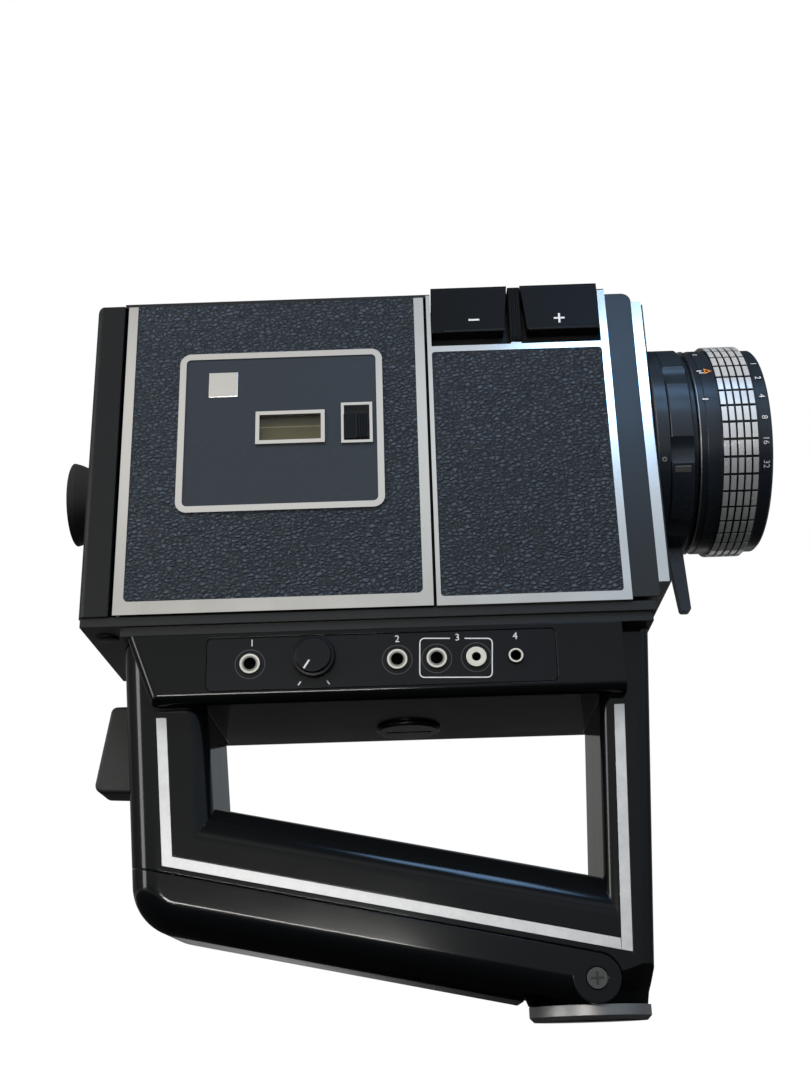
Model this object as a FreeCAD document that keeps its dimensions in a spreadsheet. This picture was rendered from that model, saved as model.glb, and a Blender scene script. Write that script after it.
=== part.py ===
import FreeCAD, Part
import math
import os
from types import SimpleNamespace

import Sketcher

# Movie camera with a loop handle, built as an assembly of separate pieces.
# Lengths are in millimetres and angles in degrees. X runs from the eyecup to the lens,
# Z is up, and the side with the film door faces -Y. The origin is the mouth of the
# tripod socket, in the middle of the foot's underside.
sizes = {
    # Main body, from the tripod foot upwards and from the front panel backwards
    "body_half": 30.0,
    "skin_thickness": 0.6,
    "trim_thickness": 0.8,
    "housing_bottom": 87.0,
    "housing_height": 20.5,
    "rail_height": 5.8,
    "rail_step": 2.9,
    "rail_overhang": 0.7,
    "body_height": 104.7,
    "lens_rise": 59.7,
    "panel_front": 17.6,
    "panel_length": 56.6,
    "door_gap": 0.9,
    "door_length": 93.4,
    "back_gap": 1.3,
    "back_length": 8.9,
    "nose_length": 8.2,
    "bezel_length": 3.7,
    "nose_drop": 2.0,
    "nose_fillet": 3.0,
    "strip_width": 3.1,
    "strip_thickness": 0.7,
    # Walls and clearances
    "body_wall": 3.0,
    "partition_wall": 2.5,
    "cover_thickness": 2.4,
    "shell_top_lip": 1.2,
    "slack": 0.15,
    "running": 0.05,
    "moving_gap": 0.3,
    # Film chamber and its door
    "chamber_margin": 4.7,
    "chamber_lip": 4.1,
    "chamber_back": 8.6,
    "chamber_depth": 35.0,
    "deck_wall": 2.0,
    "door_thickness": 4.2,
    "hinge_inset": 1.4,
    "hinge_depth": 1.2,
    "hinge_pin": 0.7,
    "hinge_engagement": 3.2,
    "door_relief": 1.5,
    "door_border": 3.0,
    "door_sill": 4.0,
    "plate_length": 62.9,
    "plate_rise": 31.4,
    "plate_height": 53.5,
    "plate_border": 2.0,
    "plate_corner": 3.5,
    "plate_thickness": 0.9,
    "border_thickness": 1.2,
    "window_left": 23.8,
    "window_length": 21.2,
    "window_rise": 21.7,
    "window_height": 11.0,
    "window_ring": 1.2,
    "glass_thickness": 1.2,
    "latch_left": 50.0,
    "latch_length": 9.6,
    "latch_rise": 21.2,
    "latch_height": 13.6,
    "latch_ring": 0.9,
    "latch_travel": 3.0,
    "latch_proud": 1.0,
    "latch_stem": 4.0,
    "bolt_thickness": 1.5,
    # Zoom keys
    "key_window": 53.0,
    "key_right_strip": 2.3,
    "key_divider": 3.6,
    "key_depth": 20.0,
    "key_flange": 16.8,
    "key_taper": 1.6,
    "key_proud": 1.5,
    "key_thickness": 4.5,
    "key_travel": 1.5,
    "key_bar": 2.0,
    # Lower housing and its controls
    "housing_inset": 0.4,
    "housing_core_half": 23.0,
    "housing_front": 14.0,
    "housing_rear": 121.3,
    "housing_lean": 8.0,
    "housing_wall": 3.0,
    "housing_fillet": 3.0,
    "recess_depth": 1.2,
    "recess_front": 5.3,
    "recess_length": 100.4,
    "recess_margin": 1.5,
    "recess_rise": 3.3,
    "jack_rise": 11.0,
    "jack_bush": 2.9,
    "jack_body": 3.9,
    "jack_bore": 1.8,
    "small_bore": 1.3,
    "jack_depth": 13.7,
    "jack_pitch": 11.3,
    "jack_last": 17.0,
    "charge_jack": 93.1,
    "remote_bush": 2.2,
    "remote_bore": 1.3,
    "knob_place": 74.8,
    "knob_rise": 12.5,
    "knob_radius": 6.25,
    "knob_height": 2.7,
    "pot_radius": 7.5,
    "pot_depth": 8.5,
    "pot_bush": 3.4,
    "pot_shaft": 1.5,
    "board_thickness": 1.6,
    "cap_place": 48.7,
    "cap_offset": 9.5,
    "cap_radius": 9.0,
    "cap_flange": 9.8,
    "cap_height": 1.1,
    # Loop handle
    "handle_half": 23.0,
    "post_width": 24.2,
    "post_lean": 4.6,
    "front_post_lean": 3.04,
    "front_outer_lean": 4.26,
    "front_outer_base": 15.2,
    "bar_slope": 11.6,
    "bar_low": 1.16,
    "bar_depth": 36.6,
    "grip_fillet": 8.5,
    "bar_fillet": 11.0,
    "rear_fillet": 5.5,
    "front_fillet": 3.8,
    "heel_radius": 15.0,
    "battery_wall": 2.5,
    "cheek_thickness": 3.0,
    "cover_hinge_height": 10.3,
    "knuckle_radius": 6.5,
    "hinge_screw": 1.5,
    "screw_head": 2.75,
    "cover_mouth": 19.4,
    "cell_radius": 7.25,
    "cell_length": 50.5,
    "stripe_width": 2.9,
    "stripe_depth": 0.6,
    "stripe_inset": 9.9,
    "front_stripe_inset": 3.9,
    "stripe_top_gap": 2.5,
    "foot_radius": 17.0,
    "foot_height": 4.0,
    "foot_bevel": 1.2,
    "foot_spigot": 6.0,
    "spigot_length": 5.5,
    "socket_radius": 2.6,
    "socket_depth": 8.3,
    "trigger_half": 7.0,
    "trigger_length": 26.5,
    "trigger_reach": 14.2,
    "trigger_pin": 1.5,
    # Lens
    "barrel_radius": 24.5,
    "barrel_wall": 2.5,
    "flange_length": 3.6,
    "zoom_length": 7.1,
    "zoom_radius": 33.4,
    "zoom_wall": 3.0,
    "flute_depth": 1.1,
    "flute_radius": 10.2,
    "collar_length": 1.4,
    "collar_rise": 0.9,
    "lever_length": 22.2,
    "lever_half": 1.8,
    "lever_width": 4.8,
    "focus_length": 22.0,
    "focus_step": 0.5,
    "rim_step": 0.3,
    "grip_start": 6.8,
    "grip_pitch": 2.2,
    "grip_gap": 0.65,
    "grip_cut": 0.8,
    "grip_height": 1.1,
    "glass_seat": 3.6,
    "filter_wall": 3.6,
    "filter_depth": 4.0,
    # Viewfinder
    "finder_offset": 18.5,
    "finder_rise": 56.4,
    "finder_tube": 4.2,
    "finder_bore": 3.4,
    "eyepiece_radius": 8.5,
    "eyepiece_length": 6.5,
    "eyecup_length": 15.7,
    "eyecup_radius": 14.1,
    "eyecup_wall": 1.5,
    # Film drive
    "gate_thickness": 2.0,
    "gate_margin": 1.95,
    "gate_height": 50.0,
    "frame_half": 2.9,
    "frame_height": 4.1,
    "claw_travel": 4.23,
    "shutter_drop": 16.0,
    "shutter_radius": 19.5,
    "shutter_shaft": 1.5,
    "capstan_place": 62.0,
    "capstan_height": 21.7,
    "capstan_shaft": 1.2,
    "flywheel_radius": 17.0,
    "flywheel_thickness": 4.0,
    "wheel_gap": 3.55,
    "roller_radius": 5.0,
    "roller_stud": 1.5,
    "spindle_place": 84.0,
    "spindle_hub": 5.0,
    "spindle_shaft": 2.0,
    "motor_place": 112.0,
    "motor_height": 23.7,
    "motor_radius": 12.0,
    "motor_gap": 0.5,
    "motor_shaft": 1.0,
    "pulley_radius": 4.0,
    "belt_thickness": 0.8,
    "belt_width": 2.0,
}

document = FreeCAD.newDocument("MovieCamera")
sheet = document.addObject("Spreadsheet::Sheet", "Sizes")
for row, (name, value) in enumerate(sizes.items(), 1):
    sheet.set(f"A{row}", name.replace("_", " "))
    sheet.set(f"B{row}", str(value))
    sheet.setAlias(f"B{row}", name)
document.recompute()


# A length known both as a spreadsheet formula and as the number it gives
class Size:
    def __init__(self, formula, number):
        self.formula = formula
        self.number = number

    def __add__(self, other):
        return Size(f"({self.formula} + {formula(other)})", self.number + number(other))

    def __radd__(self, other):
        return Size(f"({formula(other)} + {self.formula})", number(other) + self.number)

    def __sub__(self, other):
        return Size(f"({self.formula} - {formula(other)})", self.number - number(other))

    def __rsub__(self, other):
        return Size(f"({formula(other)} - {self.formula})", number(other) - self.number)

    def __mul__(self, other):
        return Size(f"({self.formula} * {formula(other)})", self.number * number(other))

    def __rmul__(self, other):
        return Size(f"({formula(other)} * {self.formula})", number(other) * self.number)

    def __truediv__(self, other):
        return Size(f"({self.formula} / {formula(other)})", self.number / number(other))

    def __neg__(self):
        return Size(f"(0 - {self.formula})", -self.number)


def formula(value):
    return value.formula if isinstance(value, Size) else repr(float(value))


def number(value):
    return value.number if isinstance(value, Size) else float(value)


def tangent(angle):
    return Size(f"tan({formula(angle)})", math.tan(math.radians(number(angle))))


def cosine(angle):
    return Size(f"cos({formula(angle)})", math.cos(math.radians(number(angle))))


def sine(angle):
    return Size(f"sin({formula(angle)})", math.sin(math.radians(number(angle))))


def bind(thing, name, value):
    if isinstance(value, Size):
        thing.setExpression(name, value.formula)
    else:
        setattr(thing, name, value)


def hold(sketch, value, kind, *where):
    index = sketch.addConstraint(Sketcher.Constraint(kind, *where, number(value)))
    if isinstance(value, Size):
        sketch.setExpression(f"Constraints[{index}]", value.formula)


def pin(sketch, item, vertex, spot):
    hold(sketch, spot[0], "DistanceX", -1, 1, item, vertex)
    hold(sketch, spot[1], "DistanceY", -1, 1, item, vertex)


def flat(u, v):
    return FreeCAD.Vector(number(u), number(v), 0)


def arc_between(sketch, centre, radius, start, end):
    angles = [math.atan2(spot.y - centre.y, spot.x - centre.x) for spot in (start, end)]
    if angles[1] < angles[0]:
        angles[1] += 2 * math.pi
    ring = Part.Circle(centre, FreeCAD.Vector(0, 0, 1), radius)
    return sketch.addGeometry(Part.ArcOfCircle(ring, *angles), False)


# A closed outline of straight sides; the third value of a corner is its rounding
def polygon(*corners):
    def draw(sketch):
        spots = [flat(*corner[:2]) for corner in corners]
        count = len(spots)
        leave = []
        reach = []
        bends = {}
        for place, corner in enumerate(corners):
            back = (spots[place - 1] - spots[place]).normalize()
            ahead = (spots[(place + 1) % count] - spots[place]).normalize()
            if len(corner) == 3:
                half = back.getAngle(ahead) / 2
                radius = number(corner[2])
                pull = radius / math.tan(half)
                centre = spots[place] + (back + ahead).normalize() * (radius / math.sin(half))
                bends[place] = (centre, radius, ahead.cross(back).z > 0)
            else:
                pull = 0
            reach.append(spots[place] + back * pull)
            leave.append(spots[place] + ahead * pull)
        sides = []
        for place in range(count):
            line = Part.LineSegment(leave[place], reach[(place + 1) % count])
            sides.append(sketch.addGeometry(line, False))
        for place, corner in enumerate(corners):
            before, after = sides[place - 1], sides[place]
            if place not in bends:
                sketch.addConstraint(Sketcher.Constraint("Coincident", before, 2, after, 1))
                pin(sketch, after, 1, corner)
                continue
            centre, radius, left = bends[place]
            ends = (reach[place], leave[place]) if left else (leave[place], reach[place])
            bend = arc_between(sketch, centre, radius, *ends)
            first, last = (1, 2) if left else (2, 1)
            sketch.addConstraint(Sketcher.Constraint("Tangent", before, 2, bend, first))
            sketch.addConstraint(Sketcher.Constraint("Tangent", after, 1, bend, last))
            hold(sketch, corner[2], "Radius", bend)
            tip = sketch.addGeometry(Part.Point(spots[place]), True)
            pin(sketch, tip, 1, corner)
            sketch.addConstraint(Sketcher.Constraint("PointOnObject", tip, 1, before))
            sketch.addConstraint(Sketcher.Constraint("PointOnObject", tip, 1, after))
    return draw


def rectangle(left, low, right, high, *rounding):
    spots = ((left, low), (right, low), (right, high), (left, high))
    return polygon(*[spot + rounding for spot in spots])


def circle(u, v, radius):
    def draw(sketch):
        ring = Part.Circle(flat(u, v), FreeCAD.Vector(0, 0, 1), number(radius))
        item = sketch.addGeometry(ring, False)
        pin(sketch, item, 3, (u, v))
        hold(sketch, radius, "Radius", item)
    return draw


# The loop of a belt round two circles, each given as (u, v, radius), the larger one second
def belt_loop(small, large):
    def draw(sketch):
        centres = [flat(*small[:2]), flat(*large[:2])]
        radii = [number(small[2]), number(large[2])]
        run = centres[1] - centres[0]
        lean = math.acos((radii[0] - radii[1]) / run.Length)
        heading = math.atan2(run.y, run.x)
        spots = []
        for angle in (heading + lean, heading - lean):
            ray = FreeCAD.Vector(math.cos(angle), math.sin(angle), 0)
            spots.append([centre + ray * radius for centre, radius in zip(centres, radii)])
        arcs = [arc_between(sketch, centres[0], radii[0], spots[0][0], spots[1][0]),
                arc_between(sketch, centres[1], radii[1], spots[1][1], spots[0][1])]
        for (near, far), near_end, far_end in zip(spots, (1, 2), (2, 1)):
            side = sketch.addGeometry(Part.LineSegment(near, far), False)
            sketch.addConstraint(Sketcher.Constraint("Tangent", side, 1, arcs[0], near_end))
            sketch.addConstraint(Sketcher.Constraint("Tangent", side, 2, arcs[1], far_end))
        for arc, wheel in zip(arcs, (small, large)):
            pin(sketch, arc, 3, wheel)
            hold(sketch, wheel[2], "Radius", arc)
    return draw


def edges_at(**planes):
    def chosen(edge):
        return all(abs(getattr(vertex.Point, axis) - number(value)) < 0.001
                   for axis, value in planes.items() for vertex in edge.Vertexes)
    return chosen


pieces = []


# One separate piece of the camera, drawn about its own place and turned by its tilt
class Piece:
    def __init__(self, label, place=(0, 0, 0), tilt=0):
        self.body = document.addObject("PartDesign::Body", label)
        self.body.Label = label
        self.body.AllowCompound = True
        turn = FreeCAD.Rotation(FreeCAD.Vector(0, 1, 0), number(tilt))
        self.body.Placement = FreeCAD.Placement(FreeCAD.Vector(*map(number, place)), turn)
        for axis, value in zip("xyz", place):
            if isinstance(value, Size):
                self.body.setExpression(f"Placement.Base.{axis}", value.formula)
        if isinstance(tilt, Size):
            self.body.setExpression("Placement.Rotation.Angle", tilt.formula)
        pieces.append(self.body)

    def origin(self, role):
        return next(item for item in self.body.Origin.OriginFeatures if item.Role == role)

    def sketch(self, plane, level, loops):
        sketch = self.body.newObject("Sketcher::SketchObject", "Sketch")
        sketch.AttachmentSupport = [(self.origin(plane), "")]
        sketch.MapMode = "FlatFace"
        sketch.AttachmentOffset.Base.z = number(level)
        bind_offset = level if isinstance(level, Size) else Size(repr(float(level)), level)
        sketch.setExpression("AttachmentOffset.Base.z", bind_offset.formula)
        for draw in loops:
            draw(sketch)
        return sketch

    # Material from low to high along an axis; Y outlines are (x, z), the others (y, z) and (x, y)
    def extrude(self, kind, axis, low, high, loops):
        plane = {"X": "YZ_Plane", "Y": "XZ_Plane", "Z": "XY_Plane"}[axis]
        sketch = self.sketch(plane, -high if axis == "Y" else low, loops)
        feature = self.body.newObject("PartDesign::" + kind, kind)
        feature.Profile = sketch
        feature.Reversed = kind == "Pocket"
        bind(feature, "Length", high - low)
        return feature

    def pad(self, axis, low, high, *loops):
        return self.extrude("Pad", axis, low, high, loops)

    def pocket(self, axis, low, high, *loops):
        return self.extrude("Pocket", axis, low, high, loops)

    # A profile of (along, radius) corners turned about the piece's own axis
    def turned(self, kind, axis, corners):
        if axis != "X":
            corners = [(corner[1], corner[0]) + corner[2:] for corner in corners]
        plane = "XY_Plane" if axis == "Y" else "XZ_Plane"
        sketch = self.sketch(plane, 0, [polygon(*corners)])
        feature = self.body.newObject("PartDesign::" + kind, kind)
        feature.Profile = sketch
        feature.ReferenceAxis = (sketch, ["H_Axis" if axis == "X" else "V_Axis"])
        feature.Angle = 360
        return feature

    def turn(self, axis, *corners):
        return self.turned("Revolution", axis, corners)

    def groove(self, axis, *corners):
        return self.turned("Groove", axis, corners)

    def dress(self, kind, value, *choices):
        document.recompute()
        tip = self.body.Tip
        edges = [f"Edge{place}" for place, edge in enumerate(tip.Shape.Edges, 1)
                 if any(chosen(edge) for chosen in choices)]
        feature = self.body.newObject("PartDesign::" + kind, kind)
        feature.Base = (tip, edges)
        bind(feature, "Radius" if kind == "Fillet" else "Size", value)
        return feature

    def fillet(self, radius, *choices):
        return self.dress("Fillet", radius, *choices)

    def chamfer(self, length, *choices):
        return self.dress("Chamfer", length, *choices)

    def repeat(self, feature, role, count):
        pattern = self.body.newObject("PartDesign::PolarPattern", "PolarPattern")
        pattern.Originals = [feature]
        pattern.Axis = (self.origin(role), [""])
        pattern.Angle = 360
        pattern.Occurrences = count
        self.body.Tip = pattern


# The span from inner to outer on the near side (-1) or the far side (1)
def span(side, inner, outer):
    return (-outer, -inner) if side < 0 else (inner, outer)


size = SimpleNamespace(**{name: Size(f"Sizes.{name}", value) for name, value in sizes.items()})

# Levels and stations that several pieces share
rail_bottom = size.housing_bottom + size.housing_height
body_bottom = rail_bottom + size.rail_height
body_top = body_bottom + size.body_height
lens_height = body_bottom + size.lens_rise
core_half = size.body_half - size.skin_thickness
panel_front = size.panel_front
panel_rear = panel_front - size.panel_length
door_front = panel_rear - size.door_gap
door_rear = door_front - size.door_length
back_front = door_rear - size.back_gap
back_rear = back_front - size.back_length
nose_front = panel_front + size.nose_length
bezel_front = nose_front + size.bezel_length
cover_inside = core_half - size.cover_thickness
door_inside = core_half - size.door_thickness
rebate_floor = door_inside - size.slack
chamber_front = door_front - size.chamber_lip
chamber_rear = back_front + size.chamber_back
chamber_low = body_bottom + size.chamber_margin
chamber_high = body_top - size.chamber_margin
deck = size.chamber_depth - rebate_floor
deck_back = deck + size.deck_wall
gate_back = chamber_front + size.partition_wall
lip_bottom = body_top - size.shell_top_lip
front_wall = panel_front - size.body_wall
rear_wall = back_front + size.partition_wall
finder_height = body_bottom + size.finder_rise
capstan = (-size.capstan_place, body_bottom + size.capstan_height)
roller = (capstan[0] + size.roller_radius + size.capstan_shaft + size.moving_gap, capstan[1])
spindle = (-size.spindle_place, lens_height)
motor = (-size.motor_place, body_bottom + size.motor_height)
shutter_height = lens_height - size.shutter_drop
hinge_x = door_rear + size.hinge_inset
hinge_y = -core_half + size.hinge_depth
plate_front = door_front - 13.4
plate_rear = plate_front - size.plate_length
plate_low = body_bottom + size.plate_rise + 0.3
plate_high = plate_low + size.plate_height
trim_face = -core_half - size.trim_thickness
bay_low = body_bottom + size.body_wall
key_floor = body_top - size.key_thickness - 0.5
key_top = body_top + size.key_proud
key_right = panel_front - size.key_right_strip
key_left = key_right - size.key_window
key_width = (size.key_window - size.key_divider) / 2
key_low = key_top - size.key_flange
recess_low = key_low - size.key_travel - 1.9
key_spans = ((key_left, key_left + key_width), (key_right - key_width, key_right))

# Latch and window openings of the film door
window_x = (plate_rear + size.window_left, plate_rear + size.window_left + size.window_length)
window_z = (plate_low + size.window_rise, plate_low + size.window_rise + size.window_height)
latch_x = (plate_rear + size.latch_left, plate_rear + size.latch_left + size.latch_length)
latch_z = (plate_low + size.latch_rise, plate_low + size.latch_rise + size.latch_height)


def inset(outline, margin):
    (left, right), (low, high) = outline
    return (left + margin, low + margin, right - margin, high - margin)


window_hole = inset((window_x, window_z), size.window_ring)
latch_hole = inset((latch_x, latch_z), size.latch_ring)
stem_x = (latch_x[0] + 2.8, latch_x[0] + 2.8 + size.latch_stem)
stem_z = (latch_z[0] + 2.8, latch_z[0] + 2.8 + size.latch_stem)
bolt_y = (-door_inside + size.moving_gap,
          -door_inside + size.moving_gap + size.bolt_thickness)

# Body shell: deck with the film chamber on the near side and the drive behind it
shell = Piece("body_shell")
shell.pad("Y", -core_half, cover_inside,
          rectangle(back_front, body_bottom, panel_front, body_top))
shell.pocket("Y", -core_half - 1, -rebate_floor,
             rectangle(back_front - 1, body_bottom - 1, panel_rear, lip_bottom))
shell.pocket("Y", -core_half - 1, deck,
             rectangle(chamber_rear, chamber_low, chamber_front, chamber_high, 2))
shell.pocket("Y", deck_back, core_half,
             rectangle(rear_wall, bay_low, front_wall, body_top - size.body_wall - 1))
shell.pocket("Y", -core_half + 4.4, core_half,
             rectangle(gate_back, bay_low, front_wall, recess_low + 5.7))
shell.pocket("X", front_wall - 1, panel_front + 1,
             circle(0, lens_height, size.barrel_radius + size.slack))
shell.pocket("X", chamber_front - 1, gate_back + 1,
             rectangle(-4, lens_height - 5.5, 6.5, lens_height + 5.5))
shell.pocket("X", back_front - 1, rear_wall + 1,
             circle(size.finder_offset, finder_height, size.finder_tube + size.slack))
shell.pocket("Y", deck - 1, deck_back + 1,
             circle(*capstan, size.capstan_shaft + size.running),
             circle(*spindle, size.spindle_shaft + size.running))
shell.pad("Y", -9, deck, circle(*roller, size.roller_stud))
shell.pad("X", gate_back, gate_back + 6, circle(0, shutter_height, 3.5))
shell.pocket("X", chamber_front + 0.8, gate_back + 7,
             circle(0, shutter_height, size.shutter_shaft + size.running))
for left, right in key_spans:
    shell.pocket("Y", -core_half - 1, -core_half + size.key_depth,
                 rectangle(left, key_floor, right, body_top + 1))
    shell.pocket("Y", -core_half - 1, -core_half + 2.8,
                 rectangle(left, recess_low, right, key_floor + 0.5))
shell.pocket("Y", -rebate_floor - 1, bolt_y[1] + size.moving_gap,
             rectangle(chamber_front - 1, latch_z[0] - 1, gate_back - 0.4, latch_z[1] + 1))
shell.pocket("Z", lip_bottom - 1, lip_bottom + 0.9, circle(hinge_x, hinge_y, size.hinge_pin))

far_cover = Piece("far_cover")
far_cover.pad("Y", cover_inside, core_half,
              rectangle(back_front, body_bottom, panel_front, body_top))
far_window = (back_front + size.door_border, body_bottom + size.door_sill,
              panel_front - size.door_border, body_top - size.door_border)
far_trim = Piece("far_trim")
far_trim.pad("Y", core_half, -trim_face,
             rectangle(back_front, body_bottom, panel_front, body_top), rectangle(*far_window, 1.5))
far_skin = Piece("far_skin")
far_skin.pad("Y", core_half, size.body_half, rectangle(*far_window, 1.5))

# Rear cover: a hollow cap rounded on its three outer edges
rear_cover = Piece("rear_cover")
rear_cover.pad("X", back_rear, back_front,
               rectangle(-size.body_half, body_bottom, size.body_half, body_top - 1))
rear_cover.pocket("X", back_rear + size.partition_wall, back_front + 1,
                  rectangle(-size.body_half + size.partition_wall,
                            body_bottom + size.partition_wall,
                            size.body_half - size.partition_wall,
                            body_top - 1 - size.partition_wall))
rear_cover.pocket("X", back_rear - 1, back_front,
                  circle(size.finder_offset, finder_height, size.finder_tube + size.slack))
rear_cover.fillet(size.partition_wall - 0.3, edges_at(x=back_rear, y=-size.body_half),
                  edges_at(x=back_rear, y=size.body_half), edges_at(x=back_rear, z=body_top - 1))

# Nose block behind the bezel, with the lens hole and a smaller front plate
bezel_low = body_bottom + size.rail_height - 0.1
nose_top = body_top - size.nose_drop
bezel_high = nose_top - size.nose_fillet - size.strip_thickness - 0.2
bezel_half = core_half - size.strip_thickness
front_bezel = Piece("front_bezel")
front_bezel.pad("X", panel_front, nose_front,
                rectangle(-core_half, body_bottom + 1.2, core_half, nose_top))
front_bezel.fillet(size.nose_fillet, edges_at(x=nose_front, z=nose_top))
front_bezel.pad("X", nose_front, bezel_front,
                rectangle(-bezel_half, bezel_low, bezel_half, bezel_high))
front_bezel.pocket("X", panel_front - 1, bezel_front + 1,
                   circle(0, lens_height, size.barrel_radius + size.slack))
bezel_trim = Piece("bezel_trim")
bezel_trim.pad("X", nose_front, nose_front + size.strip_width, polygon(
    (-core_half, bezel_low), (-bezel_half, bezel_low), (-bezel_half, bezel_high),
    (bezel_half, bezel_high), (bezel_half, bezel_low), (core_half, bezel_low),
    (core_half, bezel_high + size.strip_thickness),
    (-core_half, bezel_high + size.strip_thickness)))

# Bright frame of the front side panel, open at the top where the keys wrap over
skin_low = body_bottom + size.door_border
skin_high = recess_low - 2.5
bar_high = skin_high + size.key_bar
divider = (key_spans[0][1] + 0.2, key_spans[1][0] - 0.2)
panel_window = rectangle(key_left, skin_low, key_right, skin_high, 1)
front_panel_trim = Piece("front_panel_trim")
front_panel_trim.pad("Y", trim_face, -core_half, polygon(
    (panel_rear, body_bottom + 0.2), (panel_front, body_bottom + 0.2),
    (panel_front, body_top - 0.8), (key_right, body_top - 0.8), (key_right, bar_high),
    (divider[1], bar_high), (divider[1], body_top - 0.8), (divider[0], body_top - 0.8),
    (divider[0], bar_high), (key_left, bar_high), (key_left, body_top - 0.8),
    (panel_rear, body_top - 0.8)), panel_window)
divider_step = (divider[1] - divider[0]) / 7
front_panel_trim.pocket("Y", trim_face - 1, trim_face + 0.3, *[
    rectangle(divider[0] + divider_step * place, bar_high + 0.6,
              divider[0] + divider_step * (place + 1), body_top + 1) for place in (1, 3, 5)])
front_panel_skin = Piece("front_panel_skin")
front_panel_skin.pad("Y", -size.body_half, -core_half, panel_window)

# Dark rail under the body, a wide flange over a narrower step
base_rail = Piece("base_rail")
rail_split = rail_bottom + size.rail_step
base_rail.pad("Z", rail_split, body_bottom,
              rectangle(back_rear + size.rail_overhang, -core_half + 0.1,
                        nose_front - 1.4, core_half - 0.1))
base_rail.pad("Z", rail_bottom, rail_split,
              rectangle(back_rear + 12.5, -core_half + 1.1, nose_front - 2.4, core_half - 1.1))
base_rail.pocket("Z", body_bottom - 2.4, body_bottom + 1,
                 circle(hinge_x, hinge_y, size.hinge_pin))

door_hinge_pins = Piece("door_hinge_pins")
door_low = body_bottom + size.moving_gap
door_high = lip_bottom - size.moving_gap
door_hinge_pins.pad("Z", body_bottom - 2.4, door_low + size.hinge_engagement,
                    circle(hinge_x, hinge_y, size.hinge_pin))
door_hinge_pins.pad("Z", door_high - size.hinge_engagement, lip_bottom + 0.9,
                    circle(hinge_x, hinge_y, size.hinge_pin))

# Film door: slab with pin bores, window and latch slot
film_door = Piece("film_door")
film_door.pad("Y", -core_half, -door_inside,
              rectangle(door_rear, door_low, door_front, door_high))
film_door.chamfer(size.door_relief, edges_at(x=door_rear, y=-door_inside))
film_door.pocket("Y", -core_half - 1, -door_inside + 1, rectangle(*window_hole),
                 rectangle(stem_x[0] - size.moving_gap, stem_z[0] - size.moving_gap,
                           stem_x[1] + size.moving_gap, stem_z[1] + size.latch_travel + size.moving_gap))
film_door.pocket("Z", door_low - 1, door_low + size.hinge_engagement + size.moving_gap,
                 circle(hinge_x, hinge_y, size.hinge_pin + size.running))
film_door.pocket("Z", door_high - size.hinge_engagement - size.moving_gap, door_high + 1,
                 circle(hinge_x, hinge_y, size.hinge_pin + size.running))

door_field = rectangle(door_rear + size.door_border, door_low + size.door_sill,
                       door_front - size.door_border, door_high, 1)
plate_outline = rectangle(plate_rear, plate_low, plate_front, plate_high, size.plate_corner)
door_trim = Piece("door_trim")
door_trim.pad("Y", trim_face, -core_half, polygon(
    (door_rear, door_low), (door_front, door_low), (door_front, door_high),
    (door_front - size.door_border, door_high),
    (door_front - size.door_border, door_low + size.door_sill, 1.5),
    (door_rear + size.door_border, door_low + size.door_sill, 1.5),
    (door_rear + size.door_border, door_high), (door_rear, door_high)))
door_skin = Piece("door_skin")
door_skin.pad("Y", -size.body_half, -core_half, polygon(
    (door_rear + size.door_border, door_low + size.door_sill, 1.5),
    (door_front - size.door_border, door_low + size.door_sill, 1.5),
    (door_front - size.door_border, door_high), (door_rear + size.door_border, door_high)),
    plate_outline)

plate_field = rectangle(plate_rear + size.plate_border, plate_low + size.plate_border,
                        plate_front - size.plate_border, plate_high - size.plate_border,
                        size.plate_corner - size.plate_border)
window_outline = rectangle(window_x[0], window_z[0], window_x[1], window_z[1])
latch_outline = rectangle(latch_x[0], latch_z[0], latch_x[1], latch_z[1])
door_plate = Piece("door_plate")
door_plate.pad("Y", -core_half - size.plate_thickness, -core_half, plate_field,
               window_outline, latch_outline)
door_plate_frames = Piece("door_plate_frames")
door_plate_frames.pad("Y", -core_half - size.border_thickness, -core_half,
                      plate_outline, plate_field)
door_plate_frames.pad("Y", -core_half - size.border_thickness - 0.3, -core_half,
                      window_outline, rectangle(*window_hole),
                      latch_outline, rectangle(*latch_hole))
film_window = Piece("film_window")
film_window.pad("Y", -core_half + 0.2, -core_half + 0.2 + size.glass_thickness,
                rectangle(*window_hole))

# Latch slide: ribbed thumb piece, stem through the door, bolt behind it
door_latch = Piece("door_latch")
thumb = (latch_hole[0] + size.moving_gap, latch_hole[1] + size.moving_gap,
         latch_hole[2] - size.moving_gap, latch_hole[3] - size.moving_gap - size.latch_travel)
thumb_face = -core_half - size.border_thickness - size.latch_proud
door_latch.pad("Y", thumb_face, -core_half - size.moving_gap, rectangle(*thumb))
door_latch.pad("Y", -core_half - size.moving_gap, bolt_y[1],
               rectangle(stem_x[0], stem_z[0], stem_x[1], stem_z[1]))
door_latch.pad("Y", *bolt_y, rectangle(stem_x[0] - 2, stem_z[0] - 1, gate_back - 0.9,
                                       stem_z[1] + 1))
rib_pitch = (thumb[3] - thumb[1]) / 9
door_latch.pocket("Y", thumb_face - 1, thumb_face + 0.5, *[
    rectangle(thumb[0] - 1, thumb[1] + rib_pitch * place, thumb[2] + 1,
              thumb[1] + rib_pitch * (place + 1)) for place in (1, 3, 5, 7)])

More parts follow.
